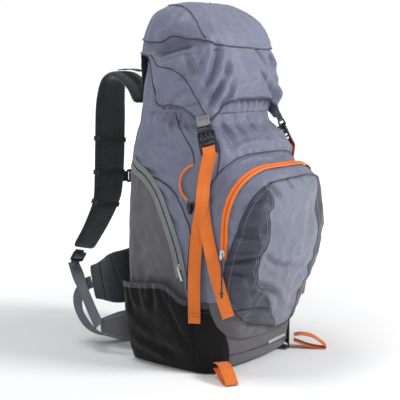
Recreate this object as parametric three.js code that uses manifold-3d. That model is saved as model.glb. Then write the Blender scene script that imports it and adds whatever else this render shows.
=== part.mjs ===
// Trekking backpack with a hooded lid, internal frame sheet, padded harness and hip belt.
// Millimetres. +Z up, -Y is the pack's front, +Y is the side worn against the back,
// +X is the right-hand side seen from the front. The origin is the centre of the flat base.
import * as THREE from "three";
import Module from "manifold-3d";
import { mergeVertices } from "three/addons/utils/BufferGeometryUtils.js";

const wasm = await Module();
wasm.setup();

// ---------------------------------------------------------------- driving dimensions
const GAP = 0.4; // air left between neighbouring pieces
const CLOTH = 2.4; // wall of a sewn panel with its lining
const BASE_TOP = 50; // height of the reinforced base cup
const WALL_TOP = 462; // where the four body panels end and the collar begins
const COLLAR_TOP = 540;
const STRAP_WIDTH = 25; // lid straps and harness webbing
const STRAP_THICK = 1.8;
const BACK_CORNER = 35; // radius of the body's rear corners
const SIDE_BULGE = 3;
const FRONT_BULGE = 6;
const LID_RIM = 562; // height at which the lid's skirt becomes its crown
const LID_HINGE_Y = 97;
const LID_HINGE_Z = 556;
const POCKET = { middle: 206, up: 164, down: 152, halfWidth: 131, wall: 2.4, seam: 1.2 };
const STRAP_TURN = 3.33; // place round the outline of the lid straps

const COLOURS = {
  body: 0x6e707f,
  charcoal: 0x5f5d61,
  ripstop: 0x9b9eaa,
  mesh: 0x201f24,
  orange: 0xe0752f,
  webbing: 0x5f6269,
  harness: 0x1e2126,
  tape: 0x7d8282,
  plastic: 0x141519,
  metal: 0xb9bcc0,
  sheet: 0x2a2a2c,
};
const ROUGHNESS = { metal: 0.35, plastic: 0.45, tape: 0.7 };

// ---------------------------------------------------------------- small helpers
const V = (x, y, z) => new THREE.Vector3(x, y, z);
const lerp = THREE.MathUtils.lerp;
const smooth = (x, low, high) => THREE.MathUtils.smoothstep(x, low, high);
const range = (count) => Array.from({ length: count + 1 }, (_, i) => i / count);

// Catmull-Rom interpolation of the rows of a table whose first column is the height.
function rowAt(table, z) {
  const last = table.length - 1;
  const h = THREE.MathUtils.clamp(z, table[0][0], table[last][0]);
  let i = 0;
  while (i < last - 1 && table[i + 1][0] < h) i++;
  const f = (h - table[i][0]) / (table[i + 1][0] - table[i][0]);
  const before = table[Math.max(i - 1, 0)];
  const after = table[Math.min(i + 2, last)];
  return table[i].slice(1).map((a, k) => {
    const b = table[i + 1][k + 1];
    const slopeA = (b - before[k + 1]) / 2;
    const slopeB = (after[k + 1] - a) / 2;
    const g = f * f;
    return (
      a * (2 * g * f - 3 * g + 1) +
      slopeA * (g * f - 2 * g + f) +
      b * (3 * g - 2 * g * f) +
      slopeB * (g * f - g)
    );
  });
}

// A closed geometry from points and triangles, turned to face outwards.
function solid(points, triangles) {
  let volume = 0;
  for (const [a, b, c] of triangles) {
    volume += points[a].dot(points[b].clone().cross(points[c]));
  }
  const faces = volume < 0 ? triangles.map(([a, b, c]) => [a, c, b]) : triangles;
  const geometry = new THREE.BufferGeometry().setFromPoints(points);
  geometry.setIndex(faces.flat());
  geometry.computeVertexNormals();
  return geometry;
}

// Rings of equal point count joined one to the next. "capped" closes both ends with a fan
// round the ring's centre, "joined" leads the last ring back to the first.
function loft(rings, ends = "capped") {
  const n = rings[0].length;
  const points = rings.flat();
  const triangles = [];
  const steps = ends === "joined" ? rings.length : rings.length - 1;
  for (let i = 0; i < steps; i++) {
    const low = i * n;
    const high = ((i + 1) % rings.length) * n;
    for (let j = 0; j < n; j++) {
      const k = (j + 1) % n;
      triangles.push([low + j, low + k, high + k], [low + j, high + k, high + j]);
    }
  }
  if (ends === "capped") {
    for (const [start, flip] of [[0, true], [(rings.length - 1) * n, false]]) {
      const centre = V(0, 0, 0);
      for (let j = 0; j < n; j++) centre.addScaledVector(points[start + j], 1 / n);
      points.push(centre);
      const pole = points.length - 1;
      for (let j = 0; j < n; j++) {
        const a = start + j;
        const b = start + ((j + 1) % n);
        triangles.push(flip ? [pole, b, a] : [pole, a, b]);
      }
    }
  }
  return solid(points, triangles);
}

// A plate that follows surface(u, v), from low to high along its outward normal.
function skin(surface, us, vs, low, high) {
  const step = 1e-3;
  const layers = [[], []];
  for (const u of us) {
    for (const v of vs) {
      const p = surface(u, v);
      const along = surface(u + step, v).sub(surface(u - step, v));
      const up = surface(u, v + step).sub(surface(u, v - step));
      const normal = along.cross(up).normalize();
      layers[0].push(p.clone().addScaledVector(normal, low));
      layers[1].push(p.clone().addScaledVector(normal, high));
    }
  }
  const m = vs.length;
  const n = us.length;
  const at = (layer, i, j) => layer * n * m + i * m + j;
  const triangles = [];
  const quad = (a, b, c, d) => triangles.push([a, b, c], [a, c, d]);
  for (let i = 0; i < n - 1; i++) {
    for (let j = 0; j < m - 1; j++) {
      quad(at(1, i, j), at(1, i + 1, j), at(1, i + 1, j + 1), at(1, i, j + 1));
      quad(at(0, i, j), at(0, i, j + 1), at(0, i + 1, j + 1), at(0, i + 1, j));
    }
    quad(at(0, i, 0), at(0, i + 1, 0), at(1, i + 1, 0), at(1, i, 0));
    quad(at(0, i + 1, m - 1), at(0, i, m - 1), at(1, i, m - 1), at(1, i + 1, m - 1));
  }
  for (let j = 0; j < m - 1; j++) {
    quad(at(0, 0, j + 1), at(0, 0, j), at(1, 0, j), at(1, 0, j + 1));
    quad(at(0, n - 1, j), at(0, n - 1, j + 1), at(1, n - 1, j + 1), at(1, n - 1, j));
  }
  return solid(layers.flat(), triangles);
}

// A strip along a path. across is its width direction, one vector or one per point, and
// width and thickness may be a number or one per point. bevel rounds off a padded edge.
function band(path, across, width, thickness, bevel = 0) {
  const of = (value, i) => (Array.isArray(value) ? value[i] : value);
  const rings = path.map((p, i) => {
    const ahead = path[Math.min(i + 1, path.length - 1)];
    const behind = path[Math.max(i - 1, 0)];
    const tangent = ahead.clone().sub(behind).normalize();
    const side = of(across, i).clone();
    side.addScaledVector(tangent, -side.dot(tangent)).normalize();
    const normal = tangent.clone().cross(side);
    const w = of(width, i) / 2;
    const t = of(thickness, i) / 2;
    const c = Math.min(bevel, t * 0.9);
    const corners = bevel
      ? [
          [w, t - c], [w - c, t], [c - w, t], [-w, t - c],
          [-w, c - t], [c - w, -t], [w - c, -t], [w, c - t],
        ]
      : [[w, t], [-w, t], [-w, -t], [w, -t]];
    return corners.map(([a, b]) =>
      p.clone().addScaledVector(side, a).addScaledVector(normal, b),
    );
  });
  return loft(rings);
}

// Points spaced along a smooth curve through the given ones.
const alongCurve = (points, count) => new THREE.CatmullRomCurve3(points).getSpacedPoints(count);

// A round cord along a path.
function cord(points, diameter, steps) {
  const outline = new THREE.Shape();
  outline.absarc(0, 0, diameter / 2, 0, 2 * Math.PI);
  const extrudePath = new THREE.CatmullRomCurve3(points);
  return new THREE.ExtrudeGeometry(outline, { steps, extrudePath, curveSegments: 4 });
}

// A plate with slots, extruded forwards from z = 0: [centre x, centre y, width, height].
function slottedPlate(width, height, depth, slots) {
  const rectangle = (Kind, x, y, w, h) =>
    new Kind([V(-w, -h, 0), V(w, -h, 0), V(w, h, 0), V(-w, h, 0)].map(
      (p) => new THREE.Vector2(x + p.x / 2, y + p.y / 2),
    ));
  const shape = rectangle(THREE.Shape, 0, 0, width, height);
  shape.holes = slots.map(([x, y, w, h]) => rectangle(THREE.Path, x, y, w, h));
  return new THREE.ExtrudeGeometry(shape, { depth, bevelEnabled: false });
}

// Geometry placed so that its x, y and z axes lie along the given directions.
function placed(geometry, origin, xAxis, yAxis, zAxis) {
  const rightHanded = xAxis.clone().cross(yAxis).dot(zAxis) > 0;
  const first = rightHanded ? xAxis : xAxis.clone().negate();
  const matrix = new THREE.Matrix4().makeBasis(first, yAxis, zAxis).setPosition(origin);
  return geometry.clone().applyMatrix4(matrix);
}

// The same piece on the other side of the pack.
function mirrored(geometry) {
  const copy = geometry.index ? geometry.toNonIndexed() : geometry.clone();
  const p = copy.getAttribute("position");
  for (let i = 0; i < p.count; i += 3) {
    const rows = [0, 2, 1].map((k) => V(-p.getX(i + k), p.getY(i + k), p.getZ(i + k)));
    rows.forEach((q, k) => p.setXYZ(i + k, q.x, q.y, q.z));
  }
  copy.computeVertexNormals();
  return copy;
}

function manifoldOf(geometry) {
  const bare = geometry.clone();
  bare.deleteAttribute("normal");
  bare.deleteAttribute("uv");
  const merged = mergeVertices(bare, 1e-3);
  return new wasm.Manifold(new wasm.Mesh({
    numProp: 3,
    vertProperties: merged.attributes.position.array,
    triVerts: new Uint32Array(merged.index.array),
  }));
}

function geometryOf(made) {
  const mesh = made.getMesh();
  const geometry = new THREE.BufferGeometry();
  geometry.setAttribute("position", new THREE.BufferAttribute(mesh.vertProperties, 3));
  geometry.setIndex(new THREE.BufferAttribute(mesh.triVerts, 1));
  geometry.computeVertexNormals();
  return geometry;
}

const joined = (...pieces) =>
  geometryOf(pieces.map(manifoldOf).reduce((a, b) => a.add(b)));

// ---------------------------------------------------------------- the body's outline
// Height, half width, front y, back y and front corner radius.
const BODY = [
  [0, 128, -108, 92, 50],
  [50, 131, -116, 94, 56],
  [120, 137, -118, 95, 60],
  [200, 140, -114, 95, 62],
  [280, 138, -114, 95, 62],
  [340, 133, -120, 95, 62],
  [390, 124, -122, 95, 60],
  [415, 116, -106, 95, 54],
  [436, 107, -80, 94, 46],
  [470, 103, -76, 92, 42],
  [540, 98, -70, 88, 38],
];

// A point on a rounded rectangle. turn runs 0..8 round the outline: back edge 0-1, left rear
// corner 1-2, left side 2-3, left front corner 3-4, front 4-5, and so on round the right.
function outlinePoint(turn, z, [half, front, back, frontRadius], inset, bulges) {
  const t = ((turn % 8) + 8) % 8;
  const w = half - inset;
  const f = front + inset;
  const b = back - inset;
  const rf = Math.max(frontRadius - inset, 6);
  const rb = Math.max(BACK_CORNER - inset, 6);
  const k = Math.floor(t);
  const part = t - k;
  const arch = Math.sin(Math.PI * part);
  const arc = (cx, cy, r, from) => {
    const angle = from + (part * Math.PI) / 2;
    return V(cx + r * Math.cos(angle), cy + r * Math.sin(angle), z);
  };
  switch (k) {
    case 0: return V(lerp(w - rb, rb - w, part), b, z);
    case 1: return arc(rb - w, b - rb, rb, Math.PI / 2);
    case 2: return V(-w - bulges.side * arch, lerp(b - rb, f + rf, part), z);
    case 3: return arc(rf - w, f + rf, rf, Math.PI);
    case 4: return V(lerp(rf - w, w - rf, part), f - bulges.front * arch, z);
    case 5: return arc(w - rf, f + rf, rf, -Math.PI / 2);
    case 6: return V(w + bulges.side * arch, lerp(f + rf, b - rb, part), z);
    default: return arc(w - rb, b - rb, rb, 0);
  }
}

const BULGES = { side: SIDE_BULGE, front: FRONT_BULGE };
const bodyPoint = (turn, z, inset = 0) => outlinePoint(turn, z, rowAt(BODY, z), inset, BULGES);

function bodyNormal(turn, z) {
  const along = bodyPoint(turn + 0.01, z).sub(bodyPoint(turn - 0.01, z));
  const up = bodyPoint(turn, z + 1).sub(bodyPoint(turn, z - 1));
  return along.cross(up).normalize();
}

const overBody = (turn, z, lift) => bodyPoint(turn, z).addScaledVector(bodyNormal(turn, z), lift);

// y of the body's front surface at x.
function bodyFront(x, z) {
  const [half, front, , radius] = rowAt(BODY, z);
  const flat = half - radius;
  const beyond = Math.min(Math.abs(x) - flat, radius);
  if (beyond > 0) return front + radius - Math.sqrt(radius * radius - beyond * beyond);
  return front - FRONT_BULGE * Math.cos((Math.PI * x) / (2 * flat));
}

// ---------------------------------------------------------------- the body's shell
const RING = range(32).slice(0, -1).map((f) => f * 8);

// The base cup: a floor that turns up into a wall. Each row is a height and an inset.
function basePanel() {
  const inside = [[2.4, 60], [2.4, 36], [5, 24], [12.5, 11.5], [27, 4.4], [BASE_TOP, CLOTH]];
  const outside = [[BASE_TOP, 0], [26, 2], [10, 9], [2.2, 22], [0, 34], [0, 60]];
  const row = rowAt(BODY, BASE_TOP);
  return loft([...inside, ...outside].map(([z, inset]) =>
    RING.map((turn) => outlinePoint(turn, z, row, inset, BULGES)),
  ));
}

// One of the four body panels between two places on the outline.
function wallPanel(from, to, columns) {
  const seam = 0.006;
  const turns = range(columns).map((f) => lerp(from + seam, to - seam, f));
  const heights = range(11).map((f) => lerp(BASE_TOP + GAP, WALL_TOP, f));
  return skin((u, v) => bodyPoint(u, v), turns, heights, -CLOTH, 0);
}

function collar() {
  const heights = range(3).map((f) => lerp(WALL_TOP + GAP, COLLAR_TOP, f));
  const ring = (z, inset) => RING.map((turn) => bodyPoint(turn, z, inset));
  const outer = heights.map((z) => ring(z, 0));
  const inner = heights.map((z) => ring(z, 1.6)).reverse();
  return loft([...outer, ...inner], "joined");
}

// ---------------------------------------------------------------- front pocket
// Depth of the stuffed pocket over the body's front panel, by height.
const pocketDepth = (z) => 15 + 62 * smooth(z, 50, 255) - 8 * smooth(z, 290, 370);

// 0 at the middle of the pocket, 1 on its sewn edge: a rounded rectangle of the fourth power.
function pocketReach(x, z) {
  const a = Math.abs(x) / POCKET.halfWidth;
  const rise = z - POCKET.middle;
  const b = Math.abs(rise) / (rise > 0 ? POCKET.up : POCKET.down);
  return (a ** 4 + b ** 4) ** 0.25;
}

function pocketFront(x, z) {
  const reach = Math.min(pocketReach(x, z), 1);
  return bodyFront(x, z) - pocketDepth(z) * Math.sqrt(1 - reach ** 9);
}

// u and v run -1..1. Squares of the grid become rounded rectangles on the pocket.
function pocketPoint(u, v, shrink = 0) {
  const size = Math.max(Math.abs(u), Math.abs(v));
  const k = size === 0 ? 0 : size / (u ** 4 + v ** 4) ** 0.25;
  const x = POCKET.halfWidth * u * k;
  const z = POCKET.middle + (v > 0 ? POCKET.up : POCKET.down) * v * k;
  const inner = 1 - shrink / POCKET.halfWidth;
  const innerX = x * inner;
  const innerZ = POCKET.middle + (z - POCKET.middle) * inner;
  const bulge = (pocketDepth(z) - shrink) * Math.sqrt(1 - size ** 9);
  return V(innerX, bodyFront(innerX, innerZ) - POCKET.seam - bulge, innerZ);
}

// The pocket's outer shell, open towards the body's front panel that closes it.
function frontPocket() {
  const half = [0, 0.3, 0.58, 0.8, 0.92, 0.98, 1];
  const steps = [...half.slice(1).reverse().map((s) => -s), ...half];
  const n = steps.length;
  const layers = [0, POCKET.wall].map((shrink) =>
    steps.flatMap((u) => steps.map((v) => pocketPoint(u, v, shrink))),
  );
  const at = (layer, i, j) => layer * n * n + i * n + j;
  const triangles = [];
  const quad = (a, b, c, d) => triangles.push([a, b, c], [a, c, d]);
  const last = n - 1;
  for (let i = 0; i < last; i++) {
    for (let j = 0; j < last; j++) {
      quad(at(0, i, j), at(0, i + 1, j), at(0, i + 1, j + 1), at(0, i, j + 1));
      quad(at(1, i, j), at(1, i, j + 1), at(1, i + 1, j + 1), at(1, i + 1, j));
    }
    quad(at(1, i, 0), at(1, i + 1, 0), at(0, i + 1, 0), at(0, i, 0));
    quad(at(1, i + 1, last), at(1, i, last), at(0, i, last), at(0, i + 1, last));
    quad(at(1, 0, i + 1), at(1, 0, i), at(0, 0, i), at(0, 0, i + 1));
    quad(at(1, last, i), at(1, last, i + 1), at(0, last, i + 1), at(0, last, i));
  }
  return solid(layers.flat(), triangles);
}

// The arched zip on the pocket's gusset, from low on the left side to low on the right.
const ZIP_REACH = 0.965;
function zipPoint(angle) {
  const c = Math.cos(angle);
  const s = Math.sin(angle);
  const k = ZIP_REACH / Math.max(Math.abs(c), Math.abs(s));
  return pocketPoint(c * k, s * k);
}
function zipNormal(angle) {
  const c = Math.cos(angle);
  const s = Math.sin(angle);
  const k = 1 / Math.max(Math.abs(c), Math.abs(s));
  const point = (reach) => pocketPoint(c * k * reach, s * k * reach);
  const outwards = point(ZIP_REACH + 0.01).sub(point(ZIP_REACH - 0.01));
  const along = zipPoint(angle + 0.02).sub(zipPoint(angle - 0.02));
  return outwards.cross(along).normalize();
}
const ZIP_START = Math.PI - 0.04;
const ZIP_END = 0.04;
function frontZip() {
  const angles = range(30).map((f) => lerp(ZIP_START, ZIP_END, f));
  const path = angles.map((a) => zipPoint(a).addScaledVector(zipNormal(a), 1.6));
  const across = angles.map((a, i) => {
    const ahead = path[Math.min(i + 1, path.length - 1)];
    const behind = path[Math.max(i - 1, 0)];
    return zipNormal(a).cross(ahead.clone().sub(behind)).normalize();
  });
  return band(path, across, 12, 1.4);
}

const ZIP_SLIDER = zipPoint(ZIP_START - 0.06).addScaledVector(zipNormal(ZIP_START), 7.5);
const ZIP_RUN = zipPoint(ZIP_START - 0.3).sub(zipPoint(ZIP_START - 0.02)).normalize();

function frontZipSlider() {
  const out = zipNormal(ZIP_START);
  out.addScaledVector(ZIP_RUN, -out.dot(ZIP_RUN)).normalize();
  const side = ZIP_RUN.clone().cross(out);
  const bodyBox = new THREE.BoxGeometry(9, 13, 5);
  const bridge = new THREE.BoxGeometry(4, 9, 4).translate(0, 0, 3.5);
  return placed(joined(bodyBox, bridge), ZIP_SLIDER, side, ZIP_RUN, out);
}

// The pull cord hangs from the slider's lower end.
const PULL_CORD_DIAMETER = 3;
function pullCordRoute() {
  const top = ZIP_SLIDER.clone().add(V(-2.5, -1, -9.5));
  return [0, 10, 20, 30, 40, 50, 60].map((drop) => top.clone().add(V(0, 0, -drop)));
}

// ---------------------------------------------------------------- side pockets and zips
const SIDE_POCKET = { rear: 1.62, front: 3.06, low: 3, high: 158, bulge: 16 };

// u runs 0..1 from rear to front, v 0..1 from the floor to the hem.
function sidePocketPoint(u, v) {
  const turn = lerp(SIDE_POCKET.rear, SIDE_POCKET.front, u);
  const z = lerp(SIDE_POCKET.low, SIDE_POCKET.high, v);
  const row = rowAt(BODY, Math.max(z, BASE_TOP));
  const base = outlinePoint(turn, z, row, 0, BULGES);
  const next = outlinePoint(turn + 0.01, z, row, 0, BULGES);
  const outward = next.sub(base).cross(V(0, 0, 1)).normalize();
  const across = (1 - Math.abs(2 * u - 1) ** 3) ** 0.6;
  const upward = Math.sqrt(smooth(v, -0.02, 0.5));
  return base.addScaledVector(outward, GAP + SIDE_POCKET.bulge * across * upward);
}

function sidePocket() {
  const us = range(14).map((f) => f * 0.998 + 0.001);
  const vs = [0.01, 0.08, 0.2, 0.36, 0.55, 0.78, 0.99];
  return skin(sidePocketPoint, us, vs, 0, 1.4);
}

// Height and place round the outline of the bowed side zip, from its lower end to its top.
const SIDE_ZIP = [
  [172, 2.96],
  [210, 2.9],
  [245, 2.79],
  [279, 2.64],
  [312, 2.46],
  [337, 2.25],
  [352, 2.02],
];
function sideZipPlace(f) {
  const z = lerp(SIDE_ZIP.at(-1)[0], SIDE_ZIP[0][0], f);
  return [rowAt(SIDE_ZIP, z)[0], z];
}

function sideZip() {
  const places = range(12).map(sideZipPlace);
  const path = places.map(([turn, z]) => overBody(turn, z, 1.5));
  const across = path.map((p, i) => {
    const ahead = path[Math.min(i + 1, path.length - 1)];
    const behind = path[Math.max(i - 1, 0)];
    return bodyNormal(...places[i]).cross(ahead.clone().sub(behind)).normalize();
  });
  return band(path, across, 22, 1.2);
}

const SIDE_SLIDER = overBody(...sideZipPlace(0.9), 7);
const SIDE_RUN = overBody(...sideZipPlace(0.4), 7).sub(SIDE_SLIDER).normalize();

function sideZipSlider() {
  const out = V(-1, 0, 0);
  out.addScaledVector(SIDE_RUN, -out.dot(SIDE_RUN)).normalize();
  const side = SIDE_RUN.clone().cross(out);
  const bodyBox = new THREE.BoxGeometry(8, 11, 4);
  const tab = new THREE.BoxGeometry(5, 24, 1.6).translate(0, -14, 2.4);
  return placed(joined(bodyBox, tab), SIDE_SLIDER, side, SIDE_RUN, out);
}

// ---------------------------------------------------------------- lid
const LID_ROW = [112, -91, 93, 48];
const LID_BULGES = { side: 2, front: 5 };
const lidOutline = (turn, z, inset) => outlinePoint(turn, z, LID_ROW, inset, LID_BULGES);

// The skirt's hem: low at the front corners, arched at the front and cut away at the rear.
function hemHeight(turn) {
  const t = turn > 4.5 ? 9 - turn : turn < 0.5 ? 1 - turn : turn;
  const front = 446 + 32 * smooth(t, 3.7, 4.5);
  const side = 466 - 20 * smooth(t, 2.7, 3.4);
  const rear = LID_HINGE_Z - 3 - (LID_HINGE_Z - 469) * smooth(t, 2.05, 2.3);
  return t > 3.55 ? front : Math.max(side, rear);
}

// Crown rows: height and inset from the skirt.
const CROWN = [[LID_RIM, 0], [590, 4], [612, 13], [630, 27], [642, 45], [648, 64]];

function lidShell() {
  const wall = 3;
  const skirt = (f, inset) => RING.map((turn) => {
    const z = lerp(hemHeight(turn), LID_RIM, f);
    return lidOutline(turn, z, inset + 2 * f - 2);
  });
  const crown = (rows, extra) => rows.map(([z, inset]) =>
    RING.map((turn) => lidOutline(turn, z - extra * smooth(z, LID_RIM, 620), inset + extra)),
  );
  const parts = [0, 1 / 3, 2 / 3];
  return loft([
    ...crown(CROWN, wall).reverse(),
    ...parts.map((f) => skirt(f, wall)).reverse(),
    ...parts.map((f) => skirt(f, 0)),
    ...crown(CROWN, 0),
  ]);
}

// The floor of the lid pocket.
function lidLining() {
  const ring = (z, inset) => RING.map((turn) => lidOutline(turn, z, inset));
  return loft([ring(LID_RIM + 4, 5), ring(LID_RIM + 6, 5)]);
}

// ---------------------------------------------------------------- lid straps and buckles
const BUCKLE_TOP = lidOutline(STRAP_TURN, 450, -2).add(V(-3, -2.2, 0));
const BUCKLE_LOW = overBody(STRAP_TURN, 388, 8);
const BUCKLE_UP = BUCKLE_TOP.clone().sub(BUCKLE_LOW).normalize();
const BUCKLE_OUT = (() => {
  const out = bodyNormal(STRAP_TURN, 350);
  return out.addScaledVector(BUCKLE_UP, -out.dot(BUCKLE_UP)).normalize();
})();
const BUCKLE_SIDE = BUCKLE_UP.clone().cross(BUCKLE_OUT);
const BUCKLE_MIDDLE = BUCKLE_LOW.clone().lerp(BUCKLE_TOP, 0.42);

// A point in the buckle's own frame: along its width, up it, and out from the pack.
const inBuckle = (side, up, out) =>
  BUCKLE_MIDDLE.clone()
    .addScaledVector(BUCKLE_SIDE, side)
    .addScaledVector(BUCKLE_UP, up)
    .addScaledVector(BUCKLE_OUT, out);
const placeBuckle = (geometry, up, out) =>
  placed(geometry, inBuckle(0, up, out), BUCKLE_SIDE, BUCKLE_UP, BUCKLE_OUT);

function femaleBuckle() {
  const slots = [[0, 5, 18, 12], [0, -9, 26, 4.4], [0, -16.5, 26, 4]];
  return placeBuckle(slottedPlate(32, 40, 3.4, slots), -8, -2);
}

function maleBuckle() {
  const corners = (list) => list.map(([x, y]) => new THREE.Vector2(x, y));
  const shape = new THREE.Shape(corners([
    [-13, 20], [13, 20], [13, 8], [9.5, 8], [9.5, -7], [6, -9],
    [5, 4], [-5, 4], [-6, -9], [-9.5, -7], [-9.5, 8], [-13, 8],
  ]));
  shape.holes = [new THREE.Path(corners([[-10, 13], [10, 13], [10, 16.5], [-10, 16.5]]))];
  const made = new THREE.ExtrudeGeometry(shape, { depth: 3, bevelEnabled: false });
  return placeBuckle(made, 2, 1.9);
}

// The sewn tab that holds the male half under the lid's hem.
function lidTab() {
  const path = [inBuckle(0, 22.6, 3.4), inBuckle(0, 30, 3.4), inBuckle(0, 40, 2.8)];
  return band(path, BUCKLE_SIDE, 22, STRAP_THICK);
}

// Distance from the pack's upright axis at which a strap clears the body and the front pocket along a bearing.
function clearRadius(bearing, z) {
  const dx = Math.cos(bearing);
  const dy = Math.sin(bearing);
  for (let r = 240; r > 60; r -= 0.5) {
    const x = r * dx;
    const y = r * dy;
    const inOutline = Math.abs(x) < rowAt(BODY, z)[0] + SIDE_BULGE;
    if (inOutline && y > pocketFront(x, z) - GAP) return r;
  }
  return 60;
}

function besidePocket(bearing, z, lift) {
  let r = 0;
  for (const turnBy of [-0.09, -0.045, 0, 0.045, 0.09]) {
    for (const rise of [-12, 0, 12]) {
      r = Math.max(r, clearRadius(bearing + turnBy, z + rise) * Math.cos(turnBy));
    }
  }
  return V((r + lift) * Math.cos(bearing), (r + lift) * Math.sin(bearing), z);
}

// One strap: sewn at the base, up to the ladder bar, round it, and down again as a free tail.
function lidStrap() {
  const runs = [
    [108, 228.5], [150, 224], [200, 220], [250, 216.5], [300, 214], [345, 214.5],
  ].map(([z, degrees]) => besidePocket((degrees * Math.PI) / 180, z, 2.6));
  const tail = [
    [345, 214.5, 8], [300, 213, 8], [250, 210.5, 8], [200, 209, 8], [150, 208.5, 8], [92, 208.5, 8],
  ].map(([z, degrees, lift]) => besidePocket((degrees * Math.PI) / 180, z, lift));
  const bar = [
    inBuckle(0, -30, -4.4), inBuckle(0, -20, -4.2), inBuckle(0, -17.4, -3.2),
    inBuckle(0, -16.7, -1), inBuckle(0, -16.8, 1.4), inBuckle(0, -18.2, 3.2), inBuckle(0, -30, 4.4),
  ];
  const upRun = new THREE.CatmullRomCurve3([...runs, bar[0]]).getSpacedPoints(14);
  const downRun = new THREE.CatmullRomCurve3([bar[6], ...tail]).getSpacedPoints(14);
  const path = [...upRun, ...bar.slice(1, 6), ...downRun];
  const across = path.map((p) => (p.z > 370 ? BUCKLE_SIDE : V(-p.y, p.x, 0).normalize()));
  return band(path, across.map((a) => (a.dot(BUCKLE_SIDE) < 0 ? a.negate() : a)), STRAP_WIDTH - 1, 1.6);
}

// ---------------------------------------------------------------- pole keepers
const KEEPER_DIAMETER = 4.5;
const KEEPER_ROUTE = [
  V(-131.5, -66, 369), V(-136, -58, 364), V(-139.5, -50, 355), V(-141.5, -46, 344),
  V(-142.5, -46, 332), V(-142.5, -50, 321), V(-142, -56, 313), V(-141, -61, 308),
];
const KEEPER_LOCK = V(-140.4, -65.4, 304);

function keeperLock() {
  const barrel = new THREE.CylinderGeometry(6, 6, 13, 16);
  const well = new THREE.CylinderGeometry(3.6, 3.6, 9, 16).translate(0, -5, 0);
  const cut = manifoldOf(barrel).subtract(manifoldOf(well));
  return geometryOf(cut)
    .rotateX(Math.PI / 2)
    .translate(KEEPER_LOCK.x - 1.5, KEEPER_LOCK.y - 2, KEEPER_LOCK.z - 6.4);
}

// The sprung button in the lock's open end.
const keeperPlunger = () => new THREE.CylinderGeometry(3.1, 3.1, 9.5, 16)
  .rotateX(Math.PI / 2)
  .translate(KEEPER_LOCK.x - 1.5, KEEPER_LOCK.y - 2, KEEPER_LOCK.z - 15);

// ---------------------------------------------------------------- harness
const FRAME_SHEET = { width: 168, low: 66, high: 446, y: 85.5 };

function padBlock(x, y, z, width, depth, height) {
  const taper = (f) => smooth(Math.abs(2 * f - 1), 0.75, 1);
  const path = range(10).map((f) => V(x, y - (depth / 4) * taper(f), z - height / 2 + height * f));
  const widths = range(10).map((f) => width - 14 * taper(f));
  const depths = range(10).map((f) => depth * (1 - taper(f) / 2));
  return band(path, V(1, 0, 0), widths, depths, 5);
}

// The strap rises from the back, folds over the shoulder and falls towards its adjuster.
const SHOULDER = [
  V(-64, 102, 470), V(-63, 118, 496), V(-62, 142, 514), V(-61, 166, 521), V(-62, 184, 508),
  V(-65, 189, 476), V(-70, 187, 430), V(-75, 184, 380), V(-78, 184, 330), V(-82, 187, 285),
  V(-92, 205, 236), V(-105, 229, 188),
];
function shoulderStrap() {
  const path = alongCurve(SHOULDER, 30);
  const widths = path.map((_, i) => 62 + 16 * smooth(i, 5, 12) - 20 * smooth(i, 17, 30));
  const across = path.map((_, i) => V(1, -0.15 * smooth(i, 18, 30), 0.2 * smooth(i, 18, 30)));
  return band(path, across, widths, 12, 4.5);
}

const ADJUSTER = V(-110.5, 240, 171);
const ADJUSTER_DOWN = V(-13, 22, -48).normalize();
function strapAdjuster() {
  const side = V(1, -0.15, 0.2);
  side.addScaledVector(ADJUSTER_DOWN, -side.dot(ADJUSTER_DOWN)).normalize();
  const out = ADJUSTER_DOWN.clone().cross(side);
  const slots = [[0, -4.5, 26, 4], [0, 4.5, 26, 4]];
  return placed(slottedPlate(34, 19, 4, slots), ADJUSTER, side, ADJUSTER_DOWN, out);
}

// Webbing from the adjuster down to the anchor patch at the body's lower rear corner.
const PATCH_TIP = V(-138, 153, 51);
function strapWebbing() {
  const start = ADJUSTER.clone().addScaledVector(ADJUSTER_DOWN, 15).add(V(0, 2.2, 0));
  const end = PATCH_TIP.clone().add(V(-5.6, 0, 2));
  const path = range(8).map((f) => start.clone().lerp(end, f));
  const across = range(8).map((f) => V(1, -0.15, 0.2).lerp(V(0.1, -0.81, 0.58), smooth(f, 0, 0.45)));
  return band(path, across, STRAP_WIDTH, STRAP_THICK);
}

function anchorPatch() {
  const path = [V(-112, 98.2, 56), V(-126, 112, 55), V(-134, 132, 53), PATCH_TIP];
  return band(path, V(0, 0, 1), [64, 56, 42, 27], 3);
}

function loadLifter() {
  const path = alongCurve([V(-63, 163, 529.4), V(-66, 140, 531), V(-72, 118, 530), V(-78, 97.5, 527)], 8);
  return band(path, V(1, 0.1, 0), 20, STRAP_THICK);
}

// A U of webbing that hangs between the shoulder straps.
const HAUL_AXIS = { y: 104, z: 531 };
function haulLoop() {
  const half = [V(-25, 104, 531), V(-25, 105, 517), V(-20, 107, 504), V(-9, 108, 497), V(0, 108.3, 495.5)];
  const rest = half.slice(0, -1).reverse().map((p) => V(-p.x, p.y, p.z));
  return band([...half, ...rest], V(0, 1, 0), 16, 2.4);
}

// The strap across the chest, in two halves that meet at a buckle.
const STERNUM_Z = 322;
function sternumWebbing() {
  const path = [V(-88, 193.6, STERNUM_Z), V(-60, 193.4, STERNUM_Z), V(-17, 194.6, STERNUM_Z)];
  return band(path, V(0, 0, 1), 20, 1.6);
}
const facingBack = (geometry, x, y, z) => placed(geometry, V(x, y, z), V(-1, 0, 0), V(0, 0, 1), V(0, 1, 0));
const sternumFemale = () => facingBack(slottedPlate(24, 26, 3, [[8, 0, 3.2, 21]]), -4, 193, STERNUM_Z);
const sternumMale = () => facingBack(slottedPlate(24, 22, 3, [[-8, 0, 3.2, 17]]), 4, 196.6, STERNUM_Z);

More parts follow.
